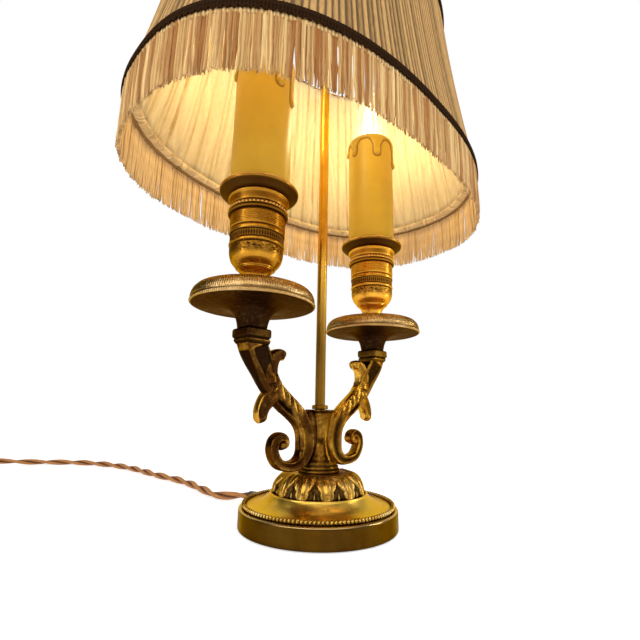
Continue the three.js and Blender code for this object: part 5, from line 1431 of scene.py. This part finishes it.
class LAMP_OT_trimmings(LampMaker, bpy.types.Operator):
    """Make the fringe and the two braids"""
    bl_idname = "lamp.trimmings"
    bl_label = "Fringe and braids"

    def execute(self, context):
        c = context.scene.lamp_finishes
        threads = context.scene.lamp_details.threads
        silk = ready("Fringe Silk", self.fringe_silk)
        dark = cloth("Dark Braid", c.braid, darker(c.braid, 0.35), 1100.0, 700.0, 0.6, 0.9,
                     Specular_IOR_Level=0.04)
        section = np.array([(0.5, 265.2), (0.6, 267.4), (-1.4, 267.4), (-1.5, 265.2)])
        heading = shade_band(section, 1600, self.heading_relief)
        surface("cut_fringe", [self.threads(threads), heading], silk, "shade", ["fringe"])
        for name, node, low in (("scalloped_braid", "lower_braid", 267.7), ("top_braid", "upper_braid", 425.1)):
            turn = around(16)
            middle = low + BRAID_HEIGHT / 2
            section = np.stack([1.2 + 0.85 * np.cos(turn), middle + 3.7 * bent(np.sin(turn), 0.7)], 1)
            self.low = low
            braid = shade_band(section, BRAID_REPEATS * 10, self.braid_relief)
            surface(name, [braid], dark, "shade", [node])
        return {"FINISHED"}

    def fringe_silk(self, label):
        """Silk threads with a painted glow where the tone is near 0: on the side that the bulbs light, and on
        the light threads outside.
        """
        made, w, shader = finish(label, "Thread Weave", {
            "Colour": bpy.context.scene.lamp_finishes.fringe, "Shade": paint("a0642a"), "Across": 900.0,
            "Along": 420.0, "Depth": 0.5},
            outputs=("Colour", "Normal"), Roughness=0.7, Specular_IOR_Level=0.15, Emission_Strength=0.2)
        tone = w.node("ShaderNodeAttribute", attribute_name="tone_and_painted_light").outputs["Fac"]
        glow = w.mixed(w.ranged(tone, 0.0, 0.35, 1.0, 0.15), paint("000000"), paint("ffeac0"))
        w.join(glow, shader.inputs["Emission Color"])
        return made

    def heading_relief(self, u, v, z):
        """Fine ribs round the fringe's heading."""
        wave = np.sin(TURN * 400 * u)
        return 0.12 * wave, 0.3 - 0.25 * wave + 0 * v

    def braid_relief(self, u, v, z):
        """Crossed plaits, and scallops that hang from the lower edge."""
        level = (z - self.low) / BRAID_HEIGHT
        across = BRAID_REPEATS * u
        plait = np.sin(TURN * (across + 0.9 * level)) * np.sin(TURN * (across - 0.9 * level))
        picot = np.abs(np.sin(np.pi * across)) * smoothstep(0.3 - level, 0, 0.3)
        lift = 0.7 - 2.2 * picot * (level < 0.4) - 0.7 * (level >= 0.4)
        return 0.28 * plait, np.clip(0.35 - 0.9 * plait, 0, 1), lift

    def threads(self, count):
        """Each thread hangs from the rim, waves a little as it falls, and ends at its own length."""
        rng = np.random.default_rng(11)
        angle, normal, _ = round_the_rim(count * 4)
        pick = np.arange(count) * 4 + rng.integers(0, 3, count)
        angle, normal = angle[pick], normal[pick]
        along = np.stack([-normal[:, 1], normal[:, 0], normal[:, 2]], 1)
        fall = np.linspace(0, 1, 9)[None, :]
        swell = 0.5 * np.sin(3 * angle) + 0.35 * np.sin(11 * angle + 1)
        length = FRINGE_LENGTH + swell[:, None] + rng.normal(0, 0.55, (count, 1)).clip(-1.6, 1.2)
        z = FRINGE_TOP - fall * length
        lean = rng.normal(0, 0.5, (count, 1)) * fall ** 1.3
        wave = 0.35 * np.sin(fall * rng.uniform(3, 9, (count, 1)) + rng.uniform(0, 6.3, (count, 1))) * fall
        depth = rng.uniform(-1.5, 0.5, (count, 1))
        depth = depth + 0.4 * np.sin(fall * 5 + rng.uniform(0, 6.3, (count, 1))) * fall
        foot = oval(angle[:, None], 0.0, np.full((count, 9), SHADE_RIM))
        foot[..., 2] = z
        line = foot + along[:, None] * (lean + wave)[..., None] + normal[:, None] * depth[..., None]
        radius = (THREAD_RADIUS + rng.normal(0, 0.05, (count, 1)).clip(-0.1, 0.1)) * (1 - 0.35 * fall ** 6)
        turn = around(6)
        ring = (along[:, None, None] * np.cos(turn)[None, None, :, None]
                + normal[:, None, None] * np.sin(turn)[None, None, :, None])
        points = line[:, :, None] + radius[..., None, None] * ring
        marks = np.arange(0, count + 3, 3)
        clump = np.interp(np.arange(count), marks, rng.uniform(0, 1, len(marks)))
        shade = (0.75 * clump ** 1.3 + 0.55 * rng.uniform(0, 1, count) ** 2).clip(0, 1)[:, None, None]
        # Outside, threads are darker in random clumps and the light ones glow; inside, facing the bulbs, they
        # stay light and glow as painted light.
        outward = smoothstep(np.sin(turn), -0.3, 0.5)[None, None, :]
        tone = outward * shade + (1 - outward) * (0.1 + 0.2 * shade ** 3)
        return grid(points, tone + 0 * points[..., 0])


class LAMP_OT_fittings(LampMaker, bpy.types.Operator):
    """Make the collar, its screw and nut, and the finial"""
    bl_idname = "lamp.fittings"
    bl_label = "Top fittings"

    def execute(self, context):
        bright = brass("Fitting Brass", 0.3, 0.85)
        collar = even([(3.9, 418.2), (7.1, 418.2), (7.5, 418.6), (7.5, 427), (8.2, 427.4), (10.1, 428.0),
                       (10.5, 428.5), (10.5, 429.8), (10.2, 430.2), (5.5, 430.2), (5.5, 436.3),
                       (5.2, 436.7), (3.9, 436.7), (3.9, 418.2)], 0.6, 1)
        spun("sliding_collar", "collar", bright, collar, 96, body="collar")
        finial = np.concatenate([
            even([(3.9, 460.2), (6.2, 460.0), (6.8, 460.5), (7.0, 461.4), (6.3, 462.4), (5.3, 463)], 0.3, 1),
            flow([(5.2, 463.2), (5.0, 465.6), (5.6, 468.4), (7.6, 471.2), (8.8, 474.2), (8.6, 477.6),
                  (6.6, 481.4), (4.2, 484.6), (2.7, 486.6), (2.9, 488.4), (2.2, 490.8),
                  (0.02, 491.9)], 0.4),
        ])
        spun("turned_finial", "finial", bright, finial, 96)
        dress("thumb_screw", bright, 0.5)
        dress("hub_nut", bright, 0.4)
        return {"FINISHED"}


class LAMP_PT_panel(bpy.types.Panel):
    """Lists the pieces and their sizes"""
    bl_label = "Table Lamp"
    bl_idname = "LAMP_PT_panel"
    bl_space_type = "VIEW_3D"
    bl_region_type = "UI"
    bl_category = "Table Lamp"

    def draw(self, context):
        for maker in MAKERS:
            self.layout.operator(maker.bl_idname)
        for group in (context.scene.lamp_finishes, context.scene.lamp_details, context.scene.lamp_stage):
            box = self.layout.box()
            for name in group.bl_rna.properties.keys():
                if name not in ("rna_type", "name"):
                    box.prop(group, name)


MAKERS = (LAMP_OT_stage, LAMP_OT_cord, LAMP_OT_base, LAMP_OT_column, LAMP_OT_arms, LAMP_OT_dishes, LAMP_OT_cups,
          LAMP_OT_sleeves, LAMP_OT_bulbs, LAMP_OT_shade, LAMP_OT_trimmings, LAMP_OT_fittings)
CLASSES = (LampFinishes, LampDetails, LampStage, *MAKERS, LAMP_PT_panel)


def register():
    for item in CLASSES:
        bpy.utils.register_class(item)
    bpy.types.Scene.lamp_finishes = PointerProperty(type=LampFinishes)
    bpy.types.Scene.lamp_details = PointerProperty(type=LampDetails)
    bpy.types.Scene.lamp_stage = PointerProperty(type=LampStage)


def unregister():
    for name in ("lamp_finishes", "lamp_details", "lamp_stage"):
        delattr(bpy.types.Scene, name)
    for item in reversed(CLASSES):
        bpy.utils.unregister_class(item)


def main():
    register()
    for maker in MAKERS:
        family, action = maker.bl_idname.split(".")
        getattr(getattr(bpy.ops, family), action)()
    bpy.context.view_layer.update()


if __name__ == "__main__":
    main()
